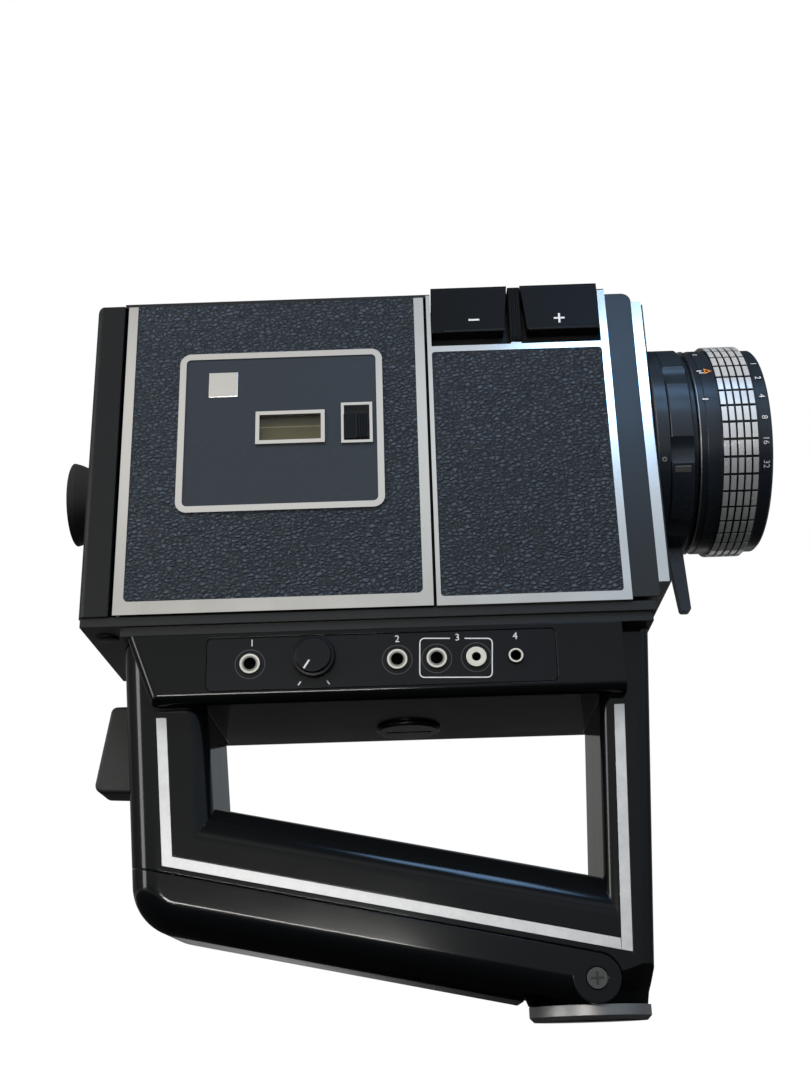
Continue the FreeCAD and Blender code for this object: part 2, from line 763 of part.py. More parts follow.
# Bowed leaf that presses the cartridge against the deck
cartridge_spring = Piece("cartridge_spring")
leaf_rear = chamber_rear + 16
leaf_front = chamber_front - 16
leaf_middle = (leaf_rear + leaf_front) / 2
cartridge_spring.pad("Z", plate_low + 4, plate_low + 14, polygon(
    (leaf_rear, -door_inside), (leaf_rear + 8, -door_inside, 3),
    (leaf_middle, -door_inside + 7, 6), (leaf_front - 8, -door_inside, 3),
    (leaf_front, -door_inside), (leaf_front, -door_inside + 0.6),
    (leaf_front - 8.2, -door_inside + 0.6, 3.6), (leaf_middle, -door_inside + 7.6, 6.6),
    (leaf_rear + 8.2, -door_inside + 0.6, 3.6), (leaf_rear, -door_inside + 0.6)))

# Zoom keys wrapped over the top edge, each a plate with a tapered flange
for label, (left, right), narrow in (("wide_key", key_spans[0], (0, 1)),
                                     ("tele_key", key_spans[1], (1, 0))):
    left = left + size.moving_gap
    right = right - size.moving_gap
    key = Piece(label)
    key.pad("Y", -core_half + 0.4, -core_half + size.key_depth - size.moving_gap,
            rectangle(left, key_top - size.key_thickness, right, key_top))
    key.pad("Y", -core_half - 2.1, -core_half + 2.4, polygon(
        (left, key_top), (left + size.key_taper * narrow[0], key_low, 1),
        (right - size.key_taper * narrow[1], key_low, 1), (right, key_top)))
    key.fillet(1.5, edges_at(y=-core_half - 2.1, z=key_top))

# Dome contacts under the keys
key_switches = Piece("key_switches")
key_switches.pad("Z", key_floor, key_floor + 0.3, *[
    circle((left + right) / 2, -core_half + size.key_depth / 2, 3) for left, right in key_spans])

# Lower housing: a core between two deeper sides, hollowed from the top
housing_low = size.housing_bottom
housing_half = core_half - size.housing_inset
core_rear = -size.cap_place - 57.8
core_front = -size.cap_place + 55.6
tray_rear = core_rear + size.housing_wall
tray_front = core_front - size.housing_wall
tray_floor = housing_low + size.housing_wall
tray_half = housing_half - size.housing_wall - 0.5
recess_face = -housing_half + size.recess_depth
panel_x = (-size.recess_front - size.recess_length, -size.recess_front)
panel_z = (housing_low + size.recess_rise, rail_bottom - size.recess_margin)
jack_z = housing_low + size.jack_rise
knob = (-size.knob_place, housing_low + size.knob_rise)
jack_x = [-size.jack_last - size.jack_pitch * place for place in (1, 2, 3)]
jack_x.append(-size.charge_jack)
remote = (-size.jack_last, jack_z)
lower_housing = Piece("lower_housing")
lower_housing.pad("Z", housing_low, rail_bottom,
                  rectangle(core_rear, -size.housing_core_half, core_front,
                            size.housing_core_half))
for side in (-1, 1):
    lower_housing.pad("Y", *span(side, size.housing_core_half, housing_half), polygon(
        (-size.housing_rear, housing_low, 2), (size.housing_front, housing_low),
        (size.housing_front, rail_bottom),
        (-size.housing_rear - size.housing_lean, rail_bottom)))
lower_housing.fillet(size.housing_fillet, edges_at(y=-housing_half, z=housing_low),
                     edges_at(y=housing_half, z=housing_low))
lower_housing.pocket("Z", tray_floor, rail_bottom + 1,
                     rectangle(tray_rear, -tray_half, tray_front, tray_half, 2))
cap_spot = (-size.cap_place, size.cap_offset)
lower_housing.pad("Z", tray_floor - 1, tray_floor + 7, circle(*cap_spot, size.cap_radius + 2))
lower_housing.pocket("Z", housing_low - 1, tray_floor + 5.5,
                     circle(*cap_spot, size.cap_radius + size.running))
lower_housing.pocket("Y", -housing_half - 1, recess_face,
                     rectangle(panel_x[0], panel_z[0], panel_x[1], panel_z[1], 1.5))
fascia_holes = [circle(place, jack_z, size.jack_bush) for place in jack_x]
fascia_holes.append(circle(*remote, size.remote_bush))
fascia_holes.append(circle(*knob, size.pot_bush))
lower_housing.pocket("Y", -housing_half - 1, -tray_half + 1, *fascia_holes)

control_panel = Piece("control_panel")
control_panel.pad("Y", -housing_half + 0.1, recess_face, rectangle(
    panel_x[0] + size.slack, panel_z[0] + size.slack, panel_x[1] - size.slack,
    panel_z[1] - size.slack, 1.4), *fascia_holes)

jack_face = -housing_half - 0.7
audio_jacks = Piece("audio_jacks")
audio_jacks.pad("Y", jack_face, -tray_half,
                *[circle(place, jack_z, size.jack_bush) for place in jack_x])
audio_jacks.pad("Y", -tray_half, jack_face + size.jack_depth + 1.3,
                *[circle(place, jack_z, size.jack_body) for place in jack_x])
audio_jacks.pocket("Y", jack_face - 1, jack_face + size.jack_depth,
                   circle(jack_x[0], jack_z, size.small_bore),
                   *[circle(place, jack_z, size.jack_bore) for place in jack_x[1:]])
remote_jack = Piece("remote_jack")
remote_jack.pad("Y", jack_face, -tray_half, circle(*remote, size.remote_bush))
remote_jack.pad("Y", -tray_half, jack_face + size.jack_depth, circle(*remote, size.jack_body))
remote_jack.pocket("Y", jack_face - 1, jack_face + size.jack_depth - 2,
                   circle(*remote, size.remote_bore))

gain_pot = Piece("gain_pot")
gain_pot.pad("Y", -tray_half, -tray_half + size.pot_depth, circle(*knob, size.pot_radius))
gain_pot.pad("Y", -housing_half + 0.3, -tray_half, circle(*knob, size.pot_bush))
gain_pot.pocket("Y", -housing_half - 1, -tray_half + size.pot_depth - 1,
                circle(*knob, size.pot_shaft + size.running))

# Gain knob with a bevelled cap and a fluted skirt, turned about its own shaft
knob_low = -housing_half + 0.1 - 0.2
gain_knob = Piece("gain_knob", (knob[0], knob_low, knob[1]))
cap_face = 0 - size.knob_height
knob_cap = size.knob_radius - 1.2
gain_knob.turn("Y", (0, 0), (0, size.knob_radius), (cap_face + 0.8, size.knob_radius),
               (cap_face, knob_cap), (cap_face, 0))
gain_knob.pad("Y", 0, size.pot_depth + 1.8, circle(0, 0, size.pot_shaft))
gain_knob.pocket("Y", cap_face - 1, cap_face + 0.4,
                 rectangle(-0.4, 0 - knob_cap, 0.4, -1.2))
knob_flute = gain_knob.pocket("Y", cap_face - 1, 1, circle(size.knob_radius + 0.35, 0, 0.6))
gain_knob.repeat(knob_flute, "Y_Axis", 24)

circuit_board = Piece("circuit_board")
board_top = tray_floor + size.board_thickness
circuit_board.pad("Z", tray_floor, board_top, rectangle(-95, -22, -5, -3))
circuit_board.pad("Z", board_top, board_top + 1.8, rectangle(-86, -12, -72, -6),
                  rectangle(-66, -12, -56, -6), rectangle(-30, -12, -18, -6))

# Coin-slot cap of the meter cell well
cell_cap = Piece("cell_cap", (cap_spot[0], cap_spot[1], housing_low))
cap_low = -size.slack - size.cap_height
cell_cap.turn("Z", (cap_low, 0), (cap_low, size.cap_flange - 0.4),
              (cap_low + 0.4, size.cap_flange), (-size.slack, size.cap_flange),
              (-size.slack, size.cap_radius), (3.5, size.cap_radius), (3.5, 0))
cell_cap.pocket("Z", cap_low - 1, cap_low + 0.7, rectangle(-7, -0.8, 7, 0.8))

# Loop handle. Its rear post leans, its bar slopes down to the front over the foot.
lean = tangent(size.post_lean)
slope = tangent(size.bar_slope)
slope_cos = cosine(size.bar_slope)
slope_sin = sine(size.bar_slope)
front_lean = tangent(size.front_post_lean)
outer_lean = tangent(size.front_outer_lean)
front_inner_top = core_front


def rear_inner(z):
    return core_rear + (housing_low - z) * lean


def rear_outer(z):
    return rear_inner(z) - size.post_width


def front_inner(z):
    return front_inner_top - (housing_low - z) * front_lean


def front_outer(z):
    return size.front_outer_base + (z - size.foot_height) * outer_lean


# Where a line of the given height over the hinge crosses a post's leaning line
def on_bar(level, x):
    return level - slope * x


def meet(level, start, start_lean):
    height = (level - slope * (start + housing_low * start_lean)) / (1 - slope * start_lean)
    return (start + (housing_low - height) * start_lean, height)


hinge_height = size.cover_hinge_height
bar_low_level = size.bar_low
bar_high_level = size.bar_low + size.bar_depth / slope_cos
parting = hinge_height + (size.knuckle_radius + size.moving_gap) / slope_cos
cover_parting = hinge_height + size.knuckle_radius / slope_cos
heel = meet(bar_low_level, core_rear - size.post_width, lean)
loop_rear = meet(bar_high_level, core_rear, lean)
loop_front = meet(bar_high_level, front_inner_top, 0 - front_lean)
foot_top = size.foot_height


# A point of the bar by its distance along the top from the handle's middle and its depth
def bar_point(along, depth):
    middle = -size.cap_place
    return (middle + along * slope_cos - depth * slope_sin,
            on_bar(bar_high_level, middle) - along * slope_sin - depth * slope_cos)


handle_half = size.handle_half
cheek_inside = handle_half - size.cheek_thickness
block_front = -size.foot_radius - 1
cell_rear = 0 - size.cell_length - 15.5
cell_front = size.cell_length - 15.5
stripe_face = handle_half + 0.1
stripe_level = cover_parting + 1.9
stripe_rise = size.stripe_width / slope_cos
stripe_top = housing_low - size.stripe_top_gap


def rear_stripe(z):
    return rear_outer(z) + size.stripe_inset


def front_stripe(z):
    return front_inner(z) + size.front_stripe_inset


def stripe_corner(level, offset):
    start = core_rear - size.post_width + size.stripe_inset + offset
    return meet(level, start, lean)


front_stripe_low = foot_top + 13.4
front_butt = front_stripe(on_bar(stripe_level, core_front)) - 0.1
stripe_outlines = (
    (stripe_corner(stripe_level, 0),
     stripe_corner(stripe_level + stripe_rise, size.stripe_width),
     (rear_stripe(stripe_top) + size.stripe_width, stripe_top),
     (rear_stripe(stripe_top), stripe_top)),
    (stripe_corner(stripe_level, 0), (front_butt, on_bar(stripe_level, front_butt)),
     (front_butt, on_bar(stripe_level + stripe_rise, front_butt)),
     stripe_corner(stripe_level + stripe_rise, size.stripe_width)),
    ((front_stripe(front_stripe_low), front_stripe_low),
     (front_stripe(front_stripe_low) + size.stripe_width,
      front_stripe_low - size.stripe_width * slope),
     (front_stripe(stripe_top) + size.stripe_width, stripe_top),
     (front_stripe(stripe_top), stripe_top)))



# Edges of the loop on one side that follow a line, without the heads in the housing
def grip_edges(face, off_line):
    at_face = edges_at(y=face)

    def chosen(edge):
        heights = [vertex.Z for vertex in edge.Vertexes]
        return (at_face(edge) and min(heights) < number(housing_low) - 0.01
                and max(heights) > number(foot_top) + 1
                and all(abs(number(off_line(vertex.X, vertex.Z))) < 0.01
                        for vertex in edge.Vertexes))
    return chosen


trigger_x = -size.cap_place - 78.8
trigger_z = housing_low + 2.5
pin_reach = size.trigger_half + 5
below = -60
knuckle_pocket = size.knuckle_radius + size.moving_gap
for side, label in ((-1, "handle_near_half"), (1, "handle_far_half")):
    half = Piece(label)
    half.pad("Y", *span(side, 0, handle_half), polygon(
        (rear_outer(rail_bottom), rail_bottom), heel + (size.heel_radius,),
        (block_front, on_bar(bar_low_level, block_front)), (-size.foot_radius + 1, foot_top),
        (front_outer(foot_top), foot_top), (front_outer(rail_bottom), rail_bottom),
        (core_front, rail_bottom), (core_front, housing_low),
        loop_front, loop_rear, (core_rear, housing_low), (core_rear, rail_bottom)))
    far_edge = handle_half * side
    half.fillet(size.bar_fillet, grip_edges(
        far_edge, lambda x, z: z - on_bar(bar_high_level, x)))
    half.fillet(size.grip_fillet, grip_edges(far_edge, lambda x, z: x - rear_outer(z)))
    half.fillet(size.front_fillet, grip_edges(far_edge, lambda x, z: x - front_outer(z)))
    half.fillet(size.rear_fillet, grip_edges(far_edge, lambda x, z: x - rear_inner(z)))
    half.fillet(size.front_fillet, grip_edges(far_edge, lambda x, z: x - front_inner(z)))
    # Everything under the parting line belongs to the battery cover
    half.pocket("Y", *span(side, 0, handle_half + 1), polygon(
        (-160, on_bar(parting, -160)), (-160, below), (block_front, below),
        (block_front, on_bar(parting, block_front))))
    half.pocket("Y", *span(side, cheek_inside - size.moving_gap, handle_half + 1), polygon(
        (block_front - 1, on_bar(parting, block_front - 1)), (block_front - 1, below),
        (0, below), (0, parting)))
    half.pocket("Y", *span(side, cheek_inside - size.moving_gap, handle_half + 1),
                circle(0, hinge_height, knuckle_pocket))
    half.pocket("Y", *span(side, 0, cheek_inside - 3), polygon(
        bar_point(cell_rear - 1, size.battery_wall), bar_point(cell_rear - 1, 31),
        bar_point(cell_front + 1, 31), bar_point(cell_front + 1, size.battery_wall)))
    # The base narrows round the foot
    half.groove("Z", (foot_top - 1, size.foot_radius), (foot_top, size.foot_radius),
                (foot_top + 3, size.foot_radius + 1.2), (foot_top + 9.5, size.foot_radius + 9),
                (foot_top + 9.5, 45), (foot_top - 1, 45))
    half.groove("Z", (foot_top - 1, 0), (foot_top - 1, size.foot_spigot),
                (foot_top + size.spigot_length, size.foot_spigot),
                (foot_top + size.spigot_length, 0))
    half.pocket("Y", *span(side, cheek_inside - 5, handle_half), circle(
        0, hinge_height, size.hinge_screw))
    # Slot of the run trigger and the seat of its pin
    half.pocket("Y", *span(side, 0, size.trigger_half + size.moving_gap), rectangle(
        trigger_x - 20, trigger_z - size.trigger_length + 2, trigger_x + 6.5,
        trigger_z + 4))
    half.pocket("Y", *span(side, 0, pin_reach), circle(trigger_x, trigger_z, size.trigger_pin))
    for outline in stripe_outlines:
        half.pocket("Y", *span(side, handle_half - size.stripe_depth, handle_half + 1),
                    polygon(*outline))

handle_stripes = Piece("handle_stripes")
for side in (-1, 1):
    for outline in stripe_outlines:
        handle_stripes.pad("Y", *span(side, handle_half - size.stripe_depth, stripe_face),
                           polygon(*outline))

trigger_pin = Piece("trigger_pin")
trigger_pin.pad("Y", -pin_reach, pin_reach, circle(trigger_x, trigger_z, size.trigger_pin))

# Run trigger: a wedge that swings into the rear post
run_trigger = Piece("run_trigger", (trigger_x, 0, trigger_z))
heel_drop = 0 - size.trigger_length + 3
run_trigger.pad("Y", -size.trigger_half, size.trigger_half, polygon(
    (-10, 3, 2), (0 - size.trigger_reach, heel_drop + 0.8, 2.5), (1.5, heel_drop), (1.5, 3)))
run_trigger.pocket("Y", -size.trigger_half - 1, size.trigger_half + 1,
                   circle(0, 0, size.trigger_pin + size.running))
run_trigger.fillet(1.2, edges_at(x=0 - size.trigger_reach),
                   lambda edge: edge.BoundBox.YLength < 0.01 and edge.BoundBox.XMax < -9)

# Battery cover: a trough under the bar that swings about the screws by the foot
cover_front = -size.cover_mouth
battery_cover = Piece("battery_cover", (0, 0, hinge_height))


def from_hinge(spot, rounding=()):
    return (spot[0], spot[1] - hinge_height) + rounding


cover_corner = meet(cover_parting, core_rear - size.post_width, lean)
wall_shift = size.battery_wall / cosine(size.post_lean)
wall_corner = meet(bar_low_level + size.battery_wall / slope_cos,
                   core_rear - size.post_width + wall_shift, lean)
wall_top = meet(cover_parting + 10, core_rear - size.post_width + wall_shift, lean)
inner_level = bar_low_level + size.battery_wall / slope_cos
battery_cover.pad("Y", -handle_half, handle_half, polygon(
    from_hinge(cover_corner), from_hinge(heel, (size.heel_radius,)),
    from_hinge((block_front - 1, on_bar(bar_low_level, block_front - 1))),
    (0, 0 - size.knuckle_radius), (0, 0),
    (size.knuckle_radius * slope_sin, size.knuckle_radius * slope_cos)))
battery_cover.fillet(size.grip_fillet, lambda edge: (
    edge.BoundBox.YLength < 0.01 and edge.BoundBox.XMax < number(block_front)
    and edge.BoundBox.ZMax < 28 and edge.BoundBox.XMax < -18))
battery_cover.pad("Y", -handle_half, handle_half, circle(0, 0, size.knuckle_radius))
battery_cover.pocket("Y", -cheek_inside, cheek_inside, polygon(
    from_hinge(wall_top), from_hinge(wall_corner, (size.heel_radius - size.battery_wall,)),
    from_hinge((cover_front, on_bar(inner_level, cover_front))), (cover_front, -30),
    (20, -30), (20, 60)))
battery_cover.fillet(size.grip_fillet - size.battery_wall, lambda edge: (
    edge.BoundBox.YLength < 0.01 and edge.BoundBox.XMax < number(cover_front) + 0.01
    and abs(abs(edge.BoundBox.YMax) - number(cheek_inside)) < 0.01
    and edge.BoundBox.XLength > 50))
battery_cover.pocket("Y", -handle_half - 1, handle_half + 1,
                     circle(0, 0, size.hinge_screw + size.running))
head_recess = size.screw_head + size.slack
for side in (-1, 1):
    battery_cover.pocket("Y", *span(side, handle_half - 1, handle_half + 1),
                         circle(0, 0, head_recess))

handle_screws = Piece("handle_screws", (0, 0, hinge_height))
for side in (-1, 1):
    handle_screws.pad("Y", *span(side, cheek_inside - 5, handle_half - 1 + size.slack),
                      circle(0, 0, size.hinge_screw))
    handle_screws.pad("Y", *span(side, handle_half - 1 + size.slack, handle_half + 0.4),
                      circle(0, 0, size.screw_head))

# Two rows of three cells, and the contact plates with their springs at both ends
battery_cells = Piece("battery_cells", bar_point(0, 0)[:1] + (0,) + bar_point(0, 0)[1:],
                      size.bar_slope)
upper_depth = size.battery_wall + 0.4 + size.cell_radius
lower_depth = upper_depth + 12.65
cell_spots = ((-7.4, -upper_depth), (7.4, -upper_depth), (0, -lower_depth))
for start in (cell_rear, cell_rear + size.cell_length):
    battery_cells.pad("X", start, start + size.cell_length - 1,
                      *[circle(*spot, size.cell_radius) for spot in cell_spots])
    battery_cells.pad("X", start + size.cell_length - 1, start + size.cell_length,
                      *[circle(*spot, 2.7) for spot in cell_spots])
battery_contacts = Piece("battery_contacts", bar_point(0, 0)[:1] + (0,) + bar_point(0, 0)[1:],
                         size.bar_slope)
for start in (cell_rear - 0.5, cell_front):
    battery_contacts.pad("X", start, start + 0.5,
                         *[circle(*spot, 5.0) for spot in cell_spots])

# Foot with the tripod socket, its spigot up in the handle
base_foot = Piece("base_foot")
base_foot.turn("Z", (0, size.socket_radius), (0, size.foot_radius - size.foot_bevel),
               (size.foot_bevel, size.foot_radius), (foot_top, size.foot_radius),
               (foot_top, size.foot_spigot), (foot_top + size.spigot_length, size.foot_spigot),
               (foot_top + size.spigot_length, 0), (size.socket_depth, 0),
               (size.socket_depth, size.socket_radius))

# Lens, on an axis of its own at the lens height
lens_axis = (0, 0, lens_height)
flange_front = bezel_front + size.flange_length
zoom_rear = flange_front + 0.2
zoom_front = zoom_rear + size.zoom_length
collar_rear = zoom_front + 0.2
collar_front = collar_rear + size.collar_length
focus_rear = collar_front + 0.2
focus_front = focus_rear + size.focus_length
seat_step = focus_rear + 2.8
barrel_end = seat_step + 9
ring_seat = size.zoom_radius - size.zoom_wall
seat_inner = ring_seat - 2
collar_radius = ring_seat + size.collar_rise
focus_radius = size.zoom_radius - size.focus_step
rim_radius = focus_radius - size.rim_step
filter_radius = rim_radius - size.filter_wall
front_glass = filter_radius - size.glass_seat
barrel_bore = size.barrel_radius - size.barrel_wall
lens_barrel = Piece("lens_barrel", lens_axis)
barrel_back = bezel_front - 29.5
lens_barrel.turn("X", (barrel_back, size.barrel_radius), (bezel_front, size.barrel_radius),
                 (bezel_front, size.zoom_radius), (flange_front, size.zoom_radius),
                 (flange_front, ring_seat), (collar_rear, ring_seat),
                 (collar_rear, collar_radius), (collar_front, collar_radius),
                 (collar_front, ring_seat), (seat_step, ring_seat),
                 (seat_step, seat_inner), (barrel_end, seat_inner),
                 (barrel_end, seat_inner - 2.4), (flange_front, seat_inner - 2.4),
                 (flange_front, barrel_bore), (barrel_back, barrel_bore))

prime_lens = Piece("prime_lens", lens_axis)
prime_rear = barrel_back + 6
prime_lens.turn("X", (prime_rear - 2.5, 0), (prime_rear, 14), (prime_rear, barrel_bore),
                (prime_rear + 6, barrel_bore), (prime_rear + 6, 15),
                (prime_rear + 9, 0))

zoom_ring = Piece("zoom_ring", lens_axis)
zoom_bore = ring_seat + size.running
zoom_ring.turn("X", (zoom_rear, zoom_bore), (zoom_rear, size.zoom_radius - 0.4),
               (zoom_rear + 0.4, size.zoom_radius), (zoom_front - 0.4, size.zoom_radius),
               (zoom_front, size.zoom_radius - 0.4), (zoom_front, zoom_bore))
lever_low = 0 - size.zoom_radius - size.lever_length + 1.2
lever_seat = 1.2 - size.zoom_radius
lever_rear = zoom_rear + 1.3
lever_front = lever_rear + size.lever_width
zoom_ring.pocket("X", lever_rear, lever_front,
                 rectangle(-size.lever_half, lever_seat - 5, size.lever_half, lever_seat))
flute_reach = size.zoom_radius - size.flute_depth + size.flute_radius
flute = zoom_ring.pocket("X", zoom_rear - 1, zoom_front + 1, circle(
    flute_reach * sine(22.5), flute_reach * cosine(22.5), size.flute_radius))
zoom_ring.repeat(flute, "X_Axis", 8)
zoom_lever = Piece("zoom_lever", lens_axis)
zoom_lever.pad("Y", -size.lever_half, size.lever_half, polygon(
    (lever_rear, lever_seat), (lever_front, lever_seat),
    (lever_front, lever_seat - 1.5), (lever_front + 0.8, lever_low, 1),
    (lever_rear + 2.3, lever_low, 1), (lever_rear, lever_seat - 1.5)))

# Focus ring with the front rim and its filter thread
focus_ring = Piece("focus_ring", lens_axis)
focus_bore = seat_inner + size.running
rim_rear = focus_front - 4
stop_rear = barrel_end + 3
focus_ring.turn("X", (focus_rear, zoom_bore), (focus_rear, focus_radius - 0.5),
                (focus_rear + 2.4, focus_radius - 0.5),
                (focus_rear + 2.4, focus_radius), (rim_rear, focus_radius),
                (rim_rear, rim_radius), (focus_front - 0.6, rim_radius),
                (focus_front, rim_radius - 0.6), (focus_front, filter_radius),
                (focus_front - size.filter_depth, filter_radius),
                (focus_front - size.filter_depth - 0.6, front_glass),
                (stop_rear, front_glass), (stop_rear, front_glass - 1.5),
                (barrel_end + 1, front_glass - 1.5), (barrel_end + 1, focus_bore),
                (seat_step + 0.15, focus_bore), (seat_step + 0.15, zoom_bore))
front_lens = Piece("front_lens", lens_axis)
front_lens.turn("X", (stop_rear, 0), (stop_rear, front_glass),
                (stop_rear + 1.2, front_glass), (stop_rear + 2.4, 15), (stop_rear + 3, 0))

# Silver grip: five ribs round the focus ring, cut across into blocks
focus_grips = Piece("focus_grips", lens_axis)
grip_rear = focus_rear + size.grip_start
grip_floor = focus_radius + 0.5
grip_top = focus_radius + size.grip_height
profile = [(grip_rear, focus_radius)]
for rib in range(5):
    start = grip_rear + size.grip_pitch * rib
    end = start + size.grip_pitch - size.grip_gap
    profile += [(start, grip_top), (end, grip_top)]
    if rib < 4:
        profile += [(end, grip_floor), (start + size.grip_pitch, grip_floor)]
focus_grips.turn("X", *profile, (end, focus_radius))
grip_cut = focus_grips.pocket("X", grip_rear - 1, end + 1, rectangle(
    -size.grip_cut / 2, grip_floor, size.grip_cut / 2, grip_top + 1))
focus_grips.repeat(grip_cut, "X_Axis", 40)

# Viewfinder tube with its eyepiece, lens and rubber cup
finder_axis = (0, size.finder_offset, finder_height)
eyepiece_end = back_rear - size.eyepiece_length
finder_tube = Piece("finder_tube", finder_axis)
finder_tube.turn("X", (gate_back + 3, size.finder_bore), (gate_back + 3, size.finder_tube),
                 (back_rear, size.finder_tube), (back_rear, size.eyepiece_radius),
                 (eyepiece_end, size.eyepiece_radius), (eyepiece_end, size.eyepiece_radius - 1.5),
                 (eyepiece_end + 4, size.eyepiece_radius - 1.5),
                 (eyepiece_end + 4, size.finder_bore))
eyepiece_lens = Piece("eyepiece_lens", finder_axis)
eyepiece_lens.turn("X", (eyepiece_end + 0.4, 0), (eyepiece_end + 1.4, size.eyepiece_radius - 1.5),
                   (eyepiece_end + 4, size.eyepiece_radius - 1.5), (eyepiece_end + 4, 0))
eyecup = Piece("eyecup", finder_axis)
eyecup_end = back_rear - size.eyecup_length
cup_root = size.eyepiece_radius + size.eyecup_wall
eyecup.turn("X", (back_rear, size.eyepiece_radius), (back_rear, cup_root + 0.8),
            (back_rear - 2.4, cup_root + 0.8), (back_rear - 2.8, cup_root),
            (eyepiece_end + 0.5, cup_root), (eyecup_end + 2, size.eyecup_radius - 0.6),
            (eyecup_end, size.eyecup_radius), (eyecup_end, size.eyecup_radius - 1.2),
            (eyepiece_end, size.eyepiece_radius))

# Film gate with its aperture and the slot of the claw
film_gate = Piece("film_gate")
gate_front = chamber_front - size.gate_thickness
gate_low = lens_height - size.gate_height / 2
gate_half = deck - size.gate_margin
film_gate.pad("X", gate_front, chamber_front, rectangle(
    -gate_half, gate_low, gate_half, gate_low + size.gate_height, 2))
frame_low = lens_height - size.frame_height / 2
claw_low = lens_height - size.claw_travel + 0.7
film_gate.pocket("X", gate_front - 1, chamber_front + 1,
                 rectangle(-size.frame_half, frame_low, size.frame_half,
                           frame_low + size.frame_height),
                 rectangle(3.9, claw_low - 0.7, 5.3, lens_height + 2))
pulldown_claw = Piece("pulldown_claw")
pulldown_claw.pad("X", gate_back + 0.2, gate_back + 1,
                  rectangle(2.5, lens_height - 7, 7.5, lens_height + 9))
pulldown_claw.pad("X", gate_front - 1.2, gate_back + 0.2,
                  rectangle(4.2, lens_height + 1, 5, lens_height + 1.6))

# Shutter with its open sector
shutter = Piece("shutter", (gate_back, 0, shutter_height))
disc = 7.5
shutter.turn("X", (-1.6, 0), (-1.6, size.shutter_shaft), (disc - 1.2, size.shutter_shaft),
             (disc - 1.2, 3), (disc, 3), (disc, size.shutter_radius),
             (disc + 0.6, size.shutter_radius), (disc + 0.6, 0))
shutter.pocket("X", disc - 0.5, disc + 1, polygon((4, 3.5), (25, -4), (25, 30), (0, 30),
                                                  (-12, 26), (-1, 4)))

sound_head = Piece("sound_head")
sound_head.pad("Y", -6, deck, rectangle(capstan[0] - 14, capstan[1] - 5, capstan[0] - 4,
                                        capstan[1] + 5, 2))

# Capstan shaft through the deck with its flywheel
capstan_wheel = Piece("capstan", (capstan[0], 0, capstan[1]))
wheel_far = cover_inside - size.wheel_gap
wheel_near = wheel_far - size.flywheel_thickness
capstan_wheel.turn("Y", (-10, 0), (-10, size.capstan_shaft), (wheel_near - 1, size.capstan_shaft),
                   (wheel_near - 1, 4), (wheel_near, 4), (wheel_near, size.flywheel_radius),
                   (wheel_far, size.flywheel_radius), (wheel_far, 4), (wheel_far + 1, 4),
                   (wheel_far + 1, 0))
pinch_roller = Piece("pinch_roller", (roller[0], 0, roller[1]))
pinch_roller.turn("Y", (-8, size.roller_stud + size.running), (-8, size.roller_radius),
                  (2, size.roller_radius), (2, size.roller_stud + size.running))

takeup_spindle = Piece("takeup_spindle", (spindle[0], 0, spindle[1]))
hub_near = deck - size.moving_gap - 6.2
takeup_spindle.turn("Y", (hub_near, 0), (hub_near, 2.4), (hub_near + 2, 2.4),
                    (hub_near + 2, size.spindle_hub), (deck - size.moving_gap, size.spindle_hub),
                    (deck - size.moving_gap, size.spindle_shaft),
                    (deck_back + size.moving_gap, size.spindle_shaft),
                    (deck_back + size.moving_gap, 9), (deck_back + 1.9, 9), (deck_back + 1.9, 0))
tooth = takeup_spindle.pad("Y", hub_near, hub_near + 2.2, rectangle(1.5, -0.5, 4.2, 0.5))
takeup_spindle.repeat(tooth, "Y_Axis", 3)

# Motor can on the deck, its pulley and the flat belt to the flywheel
drive_motor = Piece("drive_motor", (motor[0], 0, motor[1]))
can_far = wheel_near - size.motor_gap
motor_bore = size.motor_shaft + size.running
drive_motor.turn("Y", (deck_back, 0), (deck_back, size.motor_radius),
                 (can_far, size.motor_radius, 0.8), (can_far, motor_bore),
                 (deck_back + 1.7, motor_bore), (deck_back + 1.7, 0))
motor_pulley = Piece("motor_pulley", (motor[0], 0, motor[1]))
pulley_near = can_far + 0.4
flange_radius = size.pulley_radius + 1.6
motor_pulley.turn("Y", (deck_back + 2, 0), (deck_back + 2, size.motor_shaft),
                  (pulley_near, size.motor_shaft), (pulley_near, flange_radius),
                  (pulley_near + 0.7, flange_radius), (pulley_near + 0.7, size.pulley_radius),
                  (pulley_near + 3.9, size.pulley_radius), (pulley_near + 3.9, flange_radius),
                  (pulley_near + 4.6, flange_radius), (pulley_near + 4.6, 0))
drive_belt = Piece("drive_belt")
belt_near = wheel_near + 1
inner_loop = [(*motor, size.pulley_radius + size.moving_gap),
              (*capstan, size.flywheel_radius + size.moving_gap)]
outer_loop = [(*wheel[:2], wheel[2] + size.belt_thickness) for wheel in inner_loop]
drive_belt.pad("Y", belt_near, belt_near + size.belt_width,
               belt_loop(*outer_loop), belt_loop(*inner_loop))

# Every feature is checked before the first file is written
document.recompute()
for item in document.Objects:
    if "Invalid" in item.State or "Error" in item.State:
        raise RuntimeError(f"{item.getParentGeoFeatureGroup().Label} {item.Label} failed: {item.State}")
    if item.TypeId in ("PartDesign::Pocket", "PartDesign::Groove"):
        if item.BaseFeature.Shape.Volume - item.Shape.Volume < 1e-4:
            raise RuntimeError(f"{item.getParentGeoFeatureGroup().Label} {item.Label} cuts nothing")
for body in pieces:
    if body.Shape.isNull() or not body.Shape.isValid():
        raise RuntimeError(f"{body.Label} has no valid shape")
os.makedirs("parts", exist_ok=True)
for body in pieces:
    body.Shape.exportStep(f"parts/{body.Label}.step")
print(len(pieces), "pieces")
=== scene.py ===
import math

import bmesh
import bpy
from mathutils import Matrix, Vector


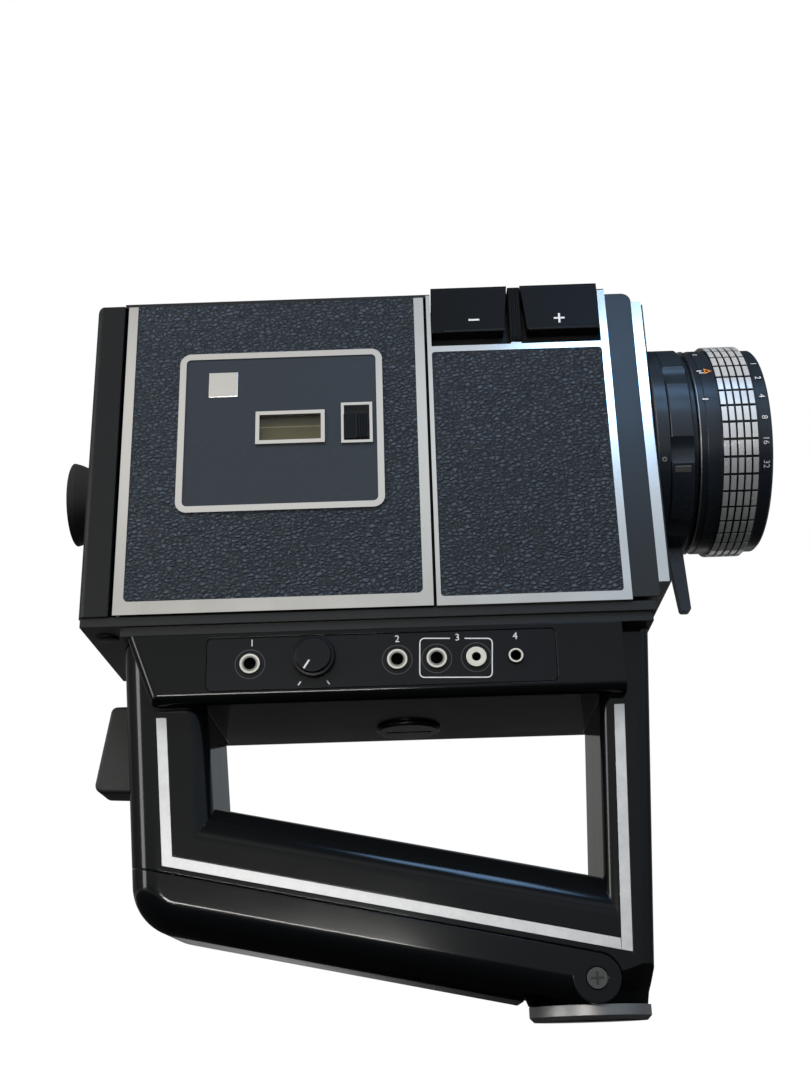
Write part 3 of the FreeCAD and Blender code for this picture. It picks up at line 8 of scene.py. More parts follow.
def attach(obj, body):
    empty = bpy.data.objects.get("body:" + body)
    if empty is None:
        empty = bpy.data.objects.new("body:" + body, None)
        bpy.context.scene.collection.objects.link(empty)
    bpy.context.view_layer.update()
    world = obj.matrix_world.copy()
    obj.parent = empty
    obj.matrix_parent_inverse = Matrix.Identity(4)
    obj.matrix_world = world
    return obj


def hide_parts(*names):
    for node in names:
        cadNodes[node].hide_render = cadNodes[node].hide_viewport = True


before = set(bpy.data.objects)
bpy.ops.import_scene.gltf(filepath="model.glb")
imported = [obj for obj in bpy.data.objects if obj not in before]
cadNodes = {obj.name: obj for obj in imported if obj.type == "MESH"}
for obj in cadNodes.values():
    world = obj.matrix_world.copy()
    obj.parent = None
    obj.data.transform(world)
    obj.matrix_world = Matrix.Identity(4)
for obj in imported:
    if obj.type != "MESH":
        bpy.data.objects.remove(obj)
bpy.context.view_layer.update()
mm = 0.001

# Heights in millimetres that several pieces share
lensHeight = 173
socketHeight = 98


# Shader maths as plain expressions
class Wire:
    def __init__(self, graph, socket):
        self.graph = graph
        self.socket = socket

    def __add__(self, other):
        return self.graph.maths("ADD", self, other)

    def __sub__(self, other):
        return self.graph.maths("SUBTRACT", self, other)

    def __rsub__(self, other):
        return self.graph.maths("SUBTRACT", other, self)

    def __mul__(self, other):
        return self.graph.maths("MULTIPLY", self, other)

    def __gt__(self, other):
        return self.graph.maths("GREATER_THAN", self, other)

    def __lt__(self, other):
        return self.graph.maths("LESS_THAN", self, other)

    __radd__ = __add__
    __rmul__ = __mul__


class Graph:
    def __init__(self, owner):
        owner.use_nodes = True
        self.tree = owner.node_tree
        self.tree.nodes.clear()

    def add(self, kind, settings=None, values=None, out=0):
        item = self.tree.nodes.new(kind)
        for key, value in (settings or {}).items():
            if key == "stops":
                self.setStops(item.color_ramp, value)
            else:
                setattr(item, key, value)
        for key, value in (values or {}).items():
            if isinstance(value, Wire):
                self.tree.links.new(value.socket, item.inputs[key])
            else:
                item.inputs[key].default_value = value
        return Wire(self, item.outputs[out]) if item.outputs else item

    def setStops(self, ramp, stops):
        while len(ramp.elements) < len(stops):
            ramp.elements.new(0.5)
        for element, (place, grey) in zip(ramp.elements, stops):
            element.position = place
            element.color = (grey, grey, grey, 1)

    def maths(self, operation, first, second):
        return self.add("ShaderNodeMath", {"operation": operation}, {0: first, 1: second})

    def range(self, value, low, high):
        return self.add("ShaderNodeMapRange", {"clamp": True},
                        {"Value": value, "From Min": low, "From Max": high})

    def place(self, scale=(1, 1, 1), turn=(0, 0, 0), shift=(0, 0, 0)):
        where = self.add("ShaderNodeTexCoord", out="Object")
        return self.add("ShaderNodeMapping", None, {"Vector": where, "Scale": scale,
                                                    "Rotation": turn, "Location": shift})

    def axes(self, wanted="XYZ", kind="Object"):
        where = self.add("ShaderNodeTexCoord", out=kind)
        return [self.add("ShaderNodeSeparateXYZ", None, {0: where}, axis) for axis in wanted]

    def noise(self, where, scale, detail=3.0, rough=0.55):
        return self.add("ShaderNodeTexNoise", None, {
            "Vector": where, "Scale": scale, "Detail": detail, "Roughness": rough})

    def ramp(self, value, *stops):
        return self.add("ShaderNodeValToRGB", {"stops": stops}, {"Fac": value})

    def blend(self, mask, first, second):
        return self.add("ShaderNodeMix", {"data_type": "RGBA"}, {0: mask, 6: first, 7: second}, 2)

    def bump(self, height, distance, strength=1.0, under=None):
        values = {"Height": height, "Distance": distance, "Strength": strength}
        if under is not None:
            values["Normal"] = under
        return self.add("ShaderNodeBump", None, values)

    def softEdge(self, radius):
        return self.add("ShaderNodeBevel", {"samples": 6}, {"Radius": radius})

    def surface(self, **sockets):
        names = {key.replace("_", " "): value for key, value in sockets.items()}
        shader = self.add("ShaderNodeBsdfPrincipled", None, names)
        self.add("ShaderNodeOutputMaterial", None, {"Surface": shader})


def grey(level, tint=(1, 1, 1)):
    return tuple(level * part for part in tint) + (1,)


madeMaterials = {}


def material(name):
    def keep(build):
        def fetch():
            if name not in madeMaterials:
                made = bpy.data.materials.new(name)
                build(Graph(made))
                madeMaterials[name] = made
            return madeMaterials[name]
        return fetch
    return keep


# Pebbled covering: painted shade makes the creases near black and painted sheen lightens the pebble
# tops
leatherLook = {"grainSize": 1.75 * mm, "grainDepth": 0.8 * mm, "tint": (0.72, 0.97, 1.28),
               "hollow": 0.004, "top": (0.070, 0.100), "stretch": (1.0, 1.0, 1.55), "lean": 0.45,
               "driftScale": 700.0, "drift": 0.0018, "creaseWidth": 0.4}


@material("pebbledCovering")
def pebbledCovering(g):
    where = g.place(leatherLook["stretch"], (0, leatherLook["lean"], 0))
    drift = g.add("ShaderNodeTexNoise", None, {
        "Vector": where, "Scale": leatherLook["driftScale"], "Detail": 2.0}, "Color")
    bent = g.add("ShaderNodeVectorMath", {"operation": "MULTIPLY_ADD"},
                 {0: drift, 1: (leatherLook["drift"],) * 3, 2: where})
    cells = g.add("ShaderNodeTexVoronoi", {"feature": "SMOOTH_F1"},
                  {"Vector": bent, "Scale": 1 / leatherLook["grainSize"], "Smoothness": 0.6})
    creases = g.add("ShaderNodeTexVoronoi", {"feature": "DISTANCE_TO_EDGE"},
                    {"Vector": bent, "Scale": 1 / leatherLook["grainSize"]})
    creaseAndShade = g.ramp(creases, (0.0, 0.0), (leatherLook["creaseWidth"], 1.0))
    height = creaseAndShade * 0.7 - cells * 0.4 + g.noise(where, 3600.0, 2.0) * 0.08
    broad = g.noise(where, 28.0, 3.0)
    # The lighter top colours paint the sheen of the grain
    tops = g.blend(broad, *(grey(level, leatherLook["tint"]) for level in leatherLook["top"]))
    # Painted shade: hollow darkens the creases between pebbles
    colour = g.blend(creaseAndShade, grey(leatherLook["hollow"], leatherLook["tint"]), tops)
    g.surface(Base_Color=colour, Roughness=0.34 + g.noise(where, 300.0) * 0.18,
              Specular_IOR_Level=0.42, Normal=g.bump(height, leatherLook["grainDepth"], 0.7))


@material("satinSteel")
def satinSteel(g):
    where = g.place()
    lines = g.noise(g.place((1, 1, 0.1)), 1200.0, 2.0)
    smears = g.noise(where, 45.0, 4.0)
    colour = g.blend(smears, grey(0.70, (1, 0.99, 0.965)), grey(0.84, (1, 0.995, 0.98)))
    g.surface(Base_Color=colour, Metallic=1.0, Roughness=0.11 + smears * 0.12,
              Normal=g.bump(lines, 0.003 * mm, 0.3))


@material("brightAluminium")
def brightAluminium(g):
    where = g.place()
    rings = g.noise(g.place((1, 1, 6)), 900.0, 2.0)
    smears = g.noise(where, 80.0, 4.0)
    colour = g.blend(smears, grey(0.30), grey(0.44))
    g.surface(Base_Color=colour, Metallic=0.8, Roughness=0.40 + smears * 0.14,
              Normal=g.bump(rings, 0.01 * mm, 0.3, g.softEdge(0.15 * mm)))


# Silver blocks on a black sleeve: what lies below gripRadius is the sleeve
gripLook = {"gripRadius": 33.72 * mm, "axisHeight": lensHeight * mm}


@material("silverGrips")
def silverGrips(g):
    y, z = g.axes("YZ")
    drop = z - gripLook["axisHeight"]
    raised = (y * y + drop * drop) > gripLook["gripRadius"] ** 2
    smears = g.noise(g.place(), 80.0, 4.0)
    turned = g.noise(g.place((5, 1, 1)), 700.0, 2.0)
    colour = g.blend(raised, grey(0.012), g.blend(smears, grey(0.80), grey(0.95)))
    g.surface(Base_Color=colour, Metallic=raised * 0.55, Roughness=0.18 + smears * 0.14,
              Normal=g.bump(turned, 0.006 * mm, 0.3, g.softEdge(0.1 * mm)))


def blackPlastic(g, level, rough, spread, edge, tint=(1, 1, 1), grain=0.0, shine=0.3):
    where = g.place()
    dust = g.ramp(g.noise(where, 900.0, 5.0, 0.7), (0.55, 0.0), (0.75, 1.0))
    rubs = g.noise(g.place((0.35, 1, 1)), 70.0, 5.0, 0.65)
    colour = g.blend(dust * 0.3, grey(level, tint), grey(level * 2.2, tint))
    fine = g.noise(where, 2600.0, 3.0)
    normal = g.bump(fine, grain, 0.6, g.softEdge(edge)) if grain else g.softEdge(edge)
    if not grain:
        normal = g.bump(rubs, 0.015 * mm, 0.2, normal)
    g.surface(Base_Color=colour, Roughness=rough + rubs * spread, Normal=normal,
              Specular_IOR_Level=shine)


@material("polishedBlack")
def polishedBlack(g):
    blackPlastic(g, 0.004, 0.07, 0.08, 0.5 * mm, (0.85, 1, 1.15), shine=0.24)


@material("keyBlack")
def keyBlack(g):
    blackPlastic(g, 0.006, 0.26, 0.12, 0.3 * mm, shine=0.1)


@material("satinBlack")
def satinBlack(g):
    blackPlastic(g, 0.0045, 0.28, 0.14, 0.3 * mm, (0.8, 1, 1.25), grain=0.02 * mm, shine=0.2)


@material("grainedBlack")
def grainedBlack(g):
    blackPlastic(g, 0.013, 0.40, 0.12, 0.5 * mm, (0.96, 1, 1.05), grain=0.05 * mm)


@material("noseBlack")
def noseBlack(g):
    blackPlastic(g, 0.009, 0.26, 0.10, 0.5 * mm, (0.85, 1, 1.15), grain=0.02 * mm, shine=0.5)


@material("charcoalPlastic")
def charcoalPlastic(g):
    blackPlastic(g, 0.010, 0.42, 0.12, 0.6 * mm, (0.98, 1, 1), grain=0.05 * mm, shine=0.24)


@material("greyWedge")
def greyWedge(g):
    blackPlastic(g, 0.030, 0.48, 0.14, 0.5 * mm, (1, 0.98, 0.95), grain=0.06 * mm)


@material("slatePaint")
def slatePaint(g):
    blackPlastic(g, 0.034, 0.36, 0.12, 0.2 * mm, (0.80, 0.98, 1.24), grain=0.015 * mm)


@material("anodisedBlack")
def anodisedBlack(g):
    blackPlastic(g, 0.022, 0.22, 0.12, 0.2 * mm, (0.72, 1, 1.38), grain=0.01 * mm, shine=0.5)


@material("softRubber")
def softRubber(g):
    blackPlastic(g, 0.026, 0.60, 0.12, 0.3 * mm, grain=0.05 * mm)


def printedInk(g, thin, full, rough):
    spots = g.noise(g.place(), 1200.0, 3.0)
    g.surface(Base_Color=g.blend(spots, thin, full), Roughness=rough + spots * 0.1)


@material("whitePrint")
def whitePrint(g):
    printedInk(g, grey(0.66), grey(0.80), 0.45)


@material("dimPrint")
def dimPrint(g):
    printedInk(g, grey(0.030), grey(0.050), 0.4)


@material("orangePrint")
def orangePrint(g):
    printedInk(g, (0.75, 0.24, 0.03, 1), (0.82, 0.32, 0.05, 1), 0.45)


# Cream collars: painted shade makes them black behind boreDepth in the bores; all but one have
# painted shade inside shadeRadius on the inner slope
jackLook = {"boreDepth": -29.55 * mm, "across": (-93.1 * mm, -50.9 * mm, -39.6 * mm),
            "up": socketHeight * mm, "shadeRadius": 2.3 * mm}


@material("creamPlastic")
def creamPlastic(g):
    x, y, z = g.axes()
    # Painted shade: the collar turns near black deeper than boreDepth
    boreShade = y > jackLook["boreDepth"]
    rise = z - jackLook["up"]
    slopeShade = 0.0
    for across in jackLook["across"]:
        side = x - across
        inside = (side * side + rise * rise) < jackLook["shadeRadius"] ** 2
        slopeShade = g.maths("MAXIMUM", slopeShade, inside)
    spots = g.noise(g.place(), 500.0, 3.0)
    cream = g.blend(spots, grey(0.56, (1, 0.97, 0.84)), grey(0.70, (1, 0.98, 0.88)))
    # Painted shade: cream darkened on each collar's inner slope
    cream = g.blend(slopeShade * 0.75, cream, grey(0.05, (1, 0.97, 0.85)))
    g.surface(Base_Color=g.blend(boreShade, cream, grey(0.008)), Roughness=0.3 + spots * 0.15,
              Normal=g.softEdge(0.15 * mm))


# Screw heads with a cross recess, drawn round the battery cover's hinge axis; the recess is bumped
# in and painted near black as painted shade
screwLook = {"across": 0.0, "up": 10.3 * mm, "arm": 1.75 * mm, "slot": 0.34 * mm}


@material("crossHeads")
def crossHeads(g):
    x, z = g.axes("XZ")
    side = g.maths("ABSOLUTE", x - screwLook["across"], 0)
    rise = g.maths("ABSOLUTE", z - screwLook["up"], 0)
    arm, slot = screwLook["arm"], screwLook["slot"]
    cross = g.maths("MAXIMUM", (side < arm) * (rise < slot), (side < slot) * (rise < arm))
    smears = g.noise(g.place(), 400.0, 4.0)
    # Painted shade: the cross recess is near black and not metallic
    colour = g.blend(cross, g.blend(smears, grey(0.045), grey(0.08)), grey(0.004))
    g.surface(Base_Color=colour, Metallic=0.5 - cross * 0.5, Roughness=0.34 + smears * 0.14,
              Normal=g.bump(1 - cross, 0.3 * mm, 0.8, g.softEdge(0.2 * mm)))


@material("stripePaint")
def stripePaint(g):
    where = g.place()
    wear = g.noise(where, 240.0, 5.0, 0.7)
    colour = g.blend(g.ramp(wear, (0.3, 0.0), (0.7, 1.0)), grey(0.54), grey(0.68))
    g.surface(Base_Color=colour, Metallic=0.35, Roughness=0.34 + wear * 0.16,
              Normal=g.bump(wear, 0.02 * mm, 0.4, g.softEdge(0.1 * mm)))


@material("brass")
def brass(g):
    smears = g.noise(g.place(), 90.0, 4.0)
    g.surface(Base_Color=g.blend(smears, (0.62, 0.44, 0.16, 1), (0.74, 0.55, 0.24, 1)),
              Metallic=1.0, Roughness=0.25 + smears * 0.15)


@material("groundSteel")
def groundSteel(g):
    smears = g.noise(g.place(), 120.0, 4.0)
    g.surface(Base_Color=g.blend(smears, grey(0.42), grey(0.56)), Metallic=1.0,
              Roughness=0.28 + smears * 0.14, Normal=g.softEdge(0.15 * mm))


@material("boardLaminate")
def boardLaminate(g):
    weave = g.noise(g.place(), 1800.0, 2.0)
    g.surface(Base_Color=g.blend(weave, (0.20, 0.12, 0.03, 1), (0.28, 0.18, 0.06, 1)),
              Roughness=0.5 + weave * 0.1)


@material("cellJacket")
def cellJacket(g):
    smears = g.noise(g.place(), 60.0, 3.0)
    g.surface(Base_Color=g.blend(smears, grey(0.34), grey(0.42)), Metallic=0.6,
              Roughness=0.3 + smears * 0.12)


# Smoked window: darker at the top, with a faint line where the cartridge shows
windowLook = {"foot": 167.9 * mm, "head": 176.5 * mm, "line": 173.0 * mm, "lineHalf": 0.2 * mm}


@material("oliveWindow")
def oliveWindow(g):
    z, = g.axes("Z")
    rise = (z - windowLook["foot"]) * (1 / (windowLook["head"] - windowLook["foot"]))
    line = g.maths("ABSOLUTE", z - windowLook["line"], 0) < windowLook["lineHalf"]
    haze = g.noise(g.place((0.4, 1, 1)), 260.0, 4.0)
    shade = g.blend(g.ramp(rise, (0.0, 0.0), (1.0, 1.0)), (0.066, 0.058, 0.028, 1),
                    (0.026, 0.022, 0.013, 1))
    colour = g.blend(line * 0.4, g.blend(haze * 0.5, shade, (0.11, 0.10, 0.05, 1)),
                     (0.24, 0.22, 0.13, 1))
    g.surface(Base_Color=colour, Roughness=0.12 + haze * 0.12, Specular_IOR_Level=0.5)


@material("coatedGlass")
def coatedGlass(g):
    haze = g.noise(g.place(), 90.0, 2.0)
    g.surface(Base_Color=g.blend(haze, (0.02, 0.02, 0.05, 1), (0.03, 0.02, 0.07, 1)),
              Roughness=0.02 + haze * 0.03, Specular_IOR_Level=0.8, Coat_Weight=1.0,
              Coat_Roughness=0.02)


finishes = {
    pebbledCovering: ("door_skin", "front_panel_skin", "far_skin"),
    satinSteel: ("door_trim", "front_panel_trim", "far_trim", "bezel_trim", "door_plate_frames"),
    stripePaint: ("handle_stripes",),
    slatePaint: ("door_plate",),
    polishedBlack: ("handle_near_half", "handle_far_half", "battery_cover", "lower_housing"),
    keyBlack: ("wide_key", "tele_key"),
    charcoalPlastic: ("rear_cover",),
    satinBlack: ("control_panel", "gain_knob", "remote_jack", "cell_cap", "door_latch",
                 "takeup_spindle", "gain_pot", "shutter"),
    noseBlack: ("front_bezel",),
    grainedBlack: ("base_rail", "body_shell", "far_cover", "film_door"),
    greyWedge: ("run_trigger",),
    anodisedBlack: ("lens_barrel", "zoom_ring", "focus_ring", "zoom_lever", "finder_tube"),
    brightAluminium: ("base_foot",),
    silverGrips: ("focus_grips",),
    crossHeads: ("handle_screws",),
    softRubber: ("eyecup", "pinch_roller", "drive_belt"),
    creamPlastic: ("audio_jacks",),
    oliveWindow: ("film_window",),
    coatedGlass: ("front_lens", "prime_lens", "eyepiece_lens"),
    brass: ("motor_pulley",),
    boardLaminate: ("circuit_board",),
    cellJacket: ("battery_cells",),
    groundSteel: ("capstan", "film_gate", "pulldown_claw", "door_hinge_pins", "trigger_pin",
                  "cartridge_spring", "battery_contacts", "drive_motor", "sound_head",
                  "key_switches"),
}
for finish, names in finishes.items():
    for name in names:
        node = cadNodes[name]
        node.data.materials.clear()
        node.data.materials.append(finish())
dressed = {name for names in finishes.values() for name in names}
print("materials on", len(dressed), "of", len(cadNodes), "nodes; missing",
      sorted(set(cadNodes) - dressed))


# Small pieces that the solids leave out; places and sizes here are in millimetres
def spot(place, right=(1, 0, 0), up=(0, 0, 1)):
    right, up = Vector(right).normalized(), Vector(up).normalized()
    turn = Matrix((right, up, right.cross(up))).transposed().to_4x4()
    return Matrix.Translation(Vector(place) * mm) @ turn


def onLens(along, angle, radius):
    across, rise = math.cos(math.radians(angle)), math.sin(math.radians(angle))
    return spot((along, -radius * across, lensHeight + radius * rise), (0, -rise, -across),
                (1, 0, 0))


def addBlock(bm, where, size, rounding=0.0):
    made = bmesh.ops.create_cube(bm, size=mm, matrix=where @ Matrix.Diagonal((*size, 1)))
    if rounding:
        edges = {edge for vertex in made["verts"] for edge in vertex.link_edges}
        bmesh.ops.bevel(bm, geom=list(edges), offset=rounding * mm, segments=2, profile=0.5,
                        affect="EDGES", material=-1)


# A profile of (radius, height) corners spun about the outward axis of a spot
def addTurned(bm, where, profile, steps=48):
    centre, outward, side = where.translation, where.col[2].xyz, where.col[0].xyz
    line = [bm.verts.new(centre + (side * radius + outward * height) * mm)
            for radius, height in profile]
    edges = [bm.edges.new(pair) for pair in zip(line, line[1:])]
    bmesh.ops.spin(bm, geom=line + edges, cent=centre, axis=outward, angle=2 * math.pi,
                   steps=steps, use_merge=True, use_duplicate=False)


def tube(near, far, low, high):
    return (near, low), (near, high), (far, high), (far, low), (near, low)


# Upright ribs side by side, each as wide as half its pitch
def addRibs(bm, start, end, near, low, high, ribs):
    pitch = (end - start) / ribs["count"]
    for count in range(ribs["count"]):
        across = start + pitch * (count + 0.5)
        addBlock(bm, spot((across, near, (low + high) / 2)),
                 (pitch * 0.5, high - low - ribs["trim"], ribs["depth"]), ribs["rounding"])


def addText(bm, words, where, size, depth=0.04):
    letters = bpy.data.curves.new("letters", "FONT")
    letters.body, letters.size, letters.extrude = words, size * mm, depth * mm
    letters.align_x = letters.align_y = "CENTER"
    letters.resolution_u = 3
    shape = bpy.data.objects.new("letters", letters)
    flat = bpy.data.meshes.new_from_object(shape)
    flat.transform(where)
    bm.from_mesh(flat)
    bpy.data.objects.remove(shape)
    bpy.data.meshes.remove(flat)
    bpy.data.curves.remove(letters)


def finishPiece(name, bm, body, paint, smooth=False):
    bmesh.ops.remove_doubles(bm, verts=bm.verts, dist=0.002 * mm)
    bmesh.ops.recalc_face_normals(bm, faces=bm.faces)
    for face in bm.faces:
        face.smooth = smooth
    mesh = bpy.data.meshes.new(name)
    bm.to_mesh(mesh)
    bm.free()
    mesh.materials.append(paint())
    if smooth:
        mesh.set_sharp_from_angle(angle=math.radians(35))
    piece = bpy.data.objects.new(name, mesh)
    bpy.context.collection.objects.link(piece)
    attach(piece, body)
    return piece


# Gain knob: a finely ribbed skirt, a smooth cap and a white index line
knob = {"centre": (-74.8, 0, 99.5), "profile": ((0, 31.8), (4.9, 31.8), (5.15, 31.6), (5.15, 30.75),
        (5.95, 30.65), (6.25, 30.4), (6.25, 29.0), (1.5, 29.0), (1.5, 18.8), (0, 18.8)),
        "ribs": 60, "ribDepth": 0.22, "ribsBeyond": 6.1, "indexTurn": 33.7, "index": (1.9, 4.8),
        "indexFace": -31.8, "indexWidth": 0.5, "indexDepth": 0.1}


def buildGainKnob():
    bm = bmesh.new()
    where = spot(knob["centre"])
    addTurned(bm, where, knob["profile"], steps=knob["ribs"] * 2)
    centre = where.translation
    for vertex in bm.verts:
        arm = vertex.co - centre
        arm.y = 0
        if arm.length > knob["ribsBeyond"] * mm:
            count = round(math.atan2(arm.z, arm.x) / (math.pi / knob["ribs"]))
            if count % 2:
                vertex.co -= arm.normalized() * knob["ribDepth"] * mm
    made = finishPiece("gainKnob", bm, "gain_knob_body", satinBlack, True)
    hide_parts("gain_knob")

    turn = math.radians(knob["indexTurn"])
    line = Vector((-math.sin(turn), 0, -math.cos(turn)))
    near, far = knob["index"]
    centre = Vector(knob["centre"]) + line * (near + far) / 2 + Vector((0, knob["indexFace"], 0))
    bm = bmesh.new()
    addBlock(bm, spot(centre, line.cross((0, -1, 0)), line),
             (knob["indexWidth"], far - near, knob["indexDepth"]))
    finishPiece("knobIndex", bm, "gain_knob_body", whitePrint)


# Prints on the socket panel: plain numbers, the box round two sockets, rings and end ticks
panel = {"face": -28.9, "printLift": 0.02, "numberSize": 2.9,
         "numbers": (("1", -92.6, 104.2), ("2", -50.8, 104.1), ("3", -33.5, 104.0),
                     ("4", -16.9, 103.9)),
         "box": ((-44.4, 104.3), (-23.3, 103.6), (-23.9, 91.8), (-44.8, 92.4)),
         "boxCorner": 1.5, "boxLine": 0.32, "boxGap": (-35.6, -31.4), "boxSink": 0.03,
         "boxDepth": 0.05,
         "ticks": ((-78.9, 91.9, 35), (-70.7, 91.9, -35)), "tick": (0.35, 1.3, 0.06),
         "rings": (-93.1, -50.9, -39.6, -28.3), "ring": (4.15, 4.38, 28.85, 28.95),
         "collarAt": -17, "collar": ((1.5, 29.55), (1.6, 29.78), (2.05, 29.78), (2.15, 29.6),
                                     (2.15, 29.5), (1.5, 29.5), (1.5, 29.55))}


def buildPanelPrints():
    face = panel["face"] - panel["printLift"]
    bm = bmesh.new()
    for digit, across, up in panel["numbers"]:
        addText(bm, digit, spot((across, face, up)), panel["numberSize"])
    finishPiece("socketNumbers", bm, "camera", whitePrint)

    bm = bmesh.new()
    corners = [bm.verts.new(Vector((across, face + panel["boxSink"], up)) * mm)
               for across, up in panel["box"]]
    bm.faces.new(corners)
    bmesh.ops.bevel(bm, geom=corners, offset=panel["boxCorner"] * mm, segments=4, profile=0.5,
                    affect="VERTICES", material=-1)
    inner = bmesh.ops.inset_region(bm, faces=bm.faces[:], thickness=panel["boxLine"] * mm,
                                   use_boundary=True, use_even_offset=True)
    rim = set(inner["faces"])
    bmesh.ops.delete(bm, geom=[part for part in bm.faces if part not in rim], context="FACES")
    for across in panel["boxGap"]:
        bmesh.ops.bisect_plane(bm, geom=bm.verts[:] + bm.edges[:] + bm.faces[:],
                               plane_co=(across * mm, 0, 0), plane_no=(1, 0, 0))
    low, high = (end * mm for end in panel["boxGap"])
    gap = [part for part in bm.faces if low < part.calc_center_median().x < high
           and part.calc_center_median().z > socketHeight * mm]
    bmesh.ops.delete(bm, geom=gap, context="FACES")
    bmesh.ops.solidify(bm, geom=bm.faces[:], thickness=panel["boxDepth"] * mm)
    finishPiece("socketBox", bm, "camera", whitePrint)

    bm = bmesh.new()
    for across, up, lean in panel["ticks"]:
        turn = math.radians(lean)
        along = Vector((math.sin(turn), 0, math.cos(turn)))
        addBlock(bm, spot((across, face, up), along.cross((0, -1, 0)), along), panel["tick"])
    finishPiece("gainTicks", bm, "camera", whitePrint)

    bm = bmesh.new()
    for across in panel["rings"]:
        addTurned(bm, spot((across, 0, socketHeight)), tube(*panel["ring"]))
    finishPiece("socketRings", bm, "camera", dimPrint, True)

    bm = bmesh.new()
    addTurned(bm, spot((panel["collarAt"], 0, socketHeight)), panel["collar"])
    finishPiece("remoteCollar", bm, "camera", creamPlastic, True)


# Keys: a lip along each lower edge, a plain mark in place of a word, and the post between
keys = {"face": -31.5, "lips": ((-33.7, -14.3), (-6.8, 14.2)), "lipHeight": (202.75, 203.5),
        "lipDepth": 0.28, "lipRounding": 0.12,
        "marks": ((-24.1, 207.0, False), (2.6, 206.7, True)), "mark": (3.4, 0.62),
        "markDepth": 0.14, "crossDepth": 0.15,
        "post": (-13.15, -9.25), "postHeight": (199.65, 218.7), "postDepth": (-31.0, -9.0),
        "postRounding": 0.3,
        "postRibs": {"count": 3, "trim": 1.2, "depth": 0.7, "rounding": 0.15}}


def buildKeyDetails():
    foot, head = keys["lipHeight"]
    for (left, right), (across, up, crossed), body, name in zip(
            keys["lips"], keys["marks"], ("wide_key_body", "tele_key_body"), ("wide", "tele")):
        bm = bmesh.new()
        addBlock(bm, spot(((left + right) / 2, keys["face"], (foot + head) / 2)),
                 (right - left, head - foot, keys["lipDepth"] * 2), keys["lipRounding"])
        finishPiece(name + "KeyLip", bm, body, charcoalPlastic)
        bm = bmesh.new()
        length, width = keys["mark"]
        addBlock(bm, spot((across, keys["face"], up)), (length, width, keys["markDepth"]))
        if crossed:
            addBlock(bm, spot((across, keys["face"], up)), (width, length, keys["crossDepth"]))
        finishPiece(name + "KeyMark", bm, body, whitePrint)

    bm = bmesh.new()
    left, right = keys["post"]
    near, far = keys["postDepth"]
    low, high = keys["postHeight"]
    addBlock(bm, spot(((left + right) / 2, (near + far) / 2, (low + high) / 2)),
             (right - left, high - low, far - near), keys["postRounding"])
    addRibs(bm, left, right, near, low, high, keys["postRibs"])
    finishPiece("keyPost", bm, "camera", keyBlack)


# Door latch: the thumb piece's face, smooth on the left and ribbed upright on the right
latch = {"across": (-65.4, -57.75), "up": (167.35, 175.65), "depth": (-31.72, -30.7),
         "rounding": 0.2, "ribStart": -61.7,
         "ribs": {"count": 5, "trim": 0.6, "depth": 0.5, "rounding": 0.12}}


def buildLatchFace():
    bm = bmesh.new()
    (left, right), (low, high), (near, far) = latch["across"], latch["up"], latch["depth"]
    addBlock(bm, spot(((left + right) / 2, (near + far) / 2, (low + high) / 2)),
             (right - left, high - low, far - near), latch["rounding"])
    addRibs(bm, latch["ribStart"], right, near, low, high, latch["ribs"])
    finishPiece("latchFace", bm, "door_latch_body", satinBlack)


# A plain bright square on the door plate, and the screw in the rail under the rear overhang
badge = {"centre": (-102.6, -30.3, 187.6), "size": (9.0, 8.5, 0.3), "rounding": 0.1}
edgeScrew = {"centre": (-137.2, -18.2, 110.4),
             "profile": ((0, 0.6), (2.6, 0.6), (3.3, 0.4), (3.55, 0.0), (3.55, -0.2), (0, -0.2)),
             "steps": 32}


def buildBadgeAndScrew():
    bm = bmesh.new()
    addBlock(bm, spot(badge["centre"]), badge["size"], badge["rounding"])
    finishPiece("plainBadge", bm, "film_door_body", satinSteel)
    bm = bmesh.new()
    where = spot(edgeScrew["centre"], (1, 0, 0), (0, -1, 0))
    addTurned(bm, where, edgeScrew["profile"], edgeScrew["steps"])
    finishPiece("edgeScrew", bm, "camera", charcoalPlastic, True)


# Lens prints: plain numbers round the rim, index marks behind the grips, a thin bright steel ring
# at the focus ring's rear edge as a painted highlight, and the small plate and the dot further back
lensPrint = {"radius": 32.9, "numbers": ("1", "2", "4", "8", "16", "32"), "numbersAt": 61.9,
             "firstAngle": 31, "angleStep": -12.5, "numberSize": 2.6,
             "bars": ((44.6, 25.6, 0.35, 1.5), (45.2, 23.9, 0.35, 1.5), (44.8, 5.1, 0.45, 1.8),
                      (45.5, 46.0, 0.4, 1.5)),
             "barDepth": 0.12, "wedge": (47.2, 25.3, 2.6), "wedgeLift": 0.04,
             "wedgeLine": 0.32, "wedgeDepth": 0.06,
             "plateAt": (36.8, -32.6, 33.35), "plate": (1.9, 4.9, 0.3), "plateRounding": 0.08,
             "highlightAt": 42.45, "line": (32.3, 32.95, -0.14, 0.14), "highlightSteps": 96,
             "dotAt": (31.2, -27.3, 33.4), "dot": (0.35, 0.75, -0.3, 0.08), "dotSteps": 24}


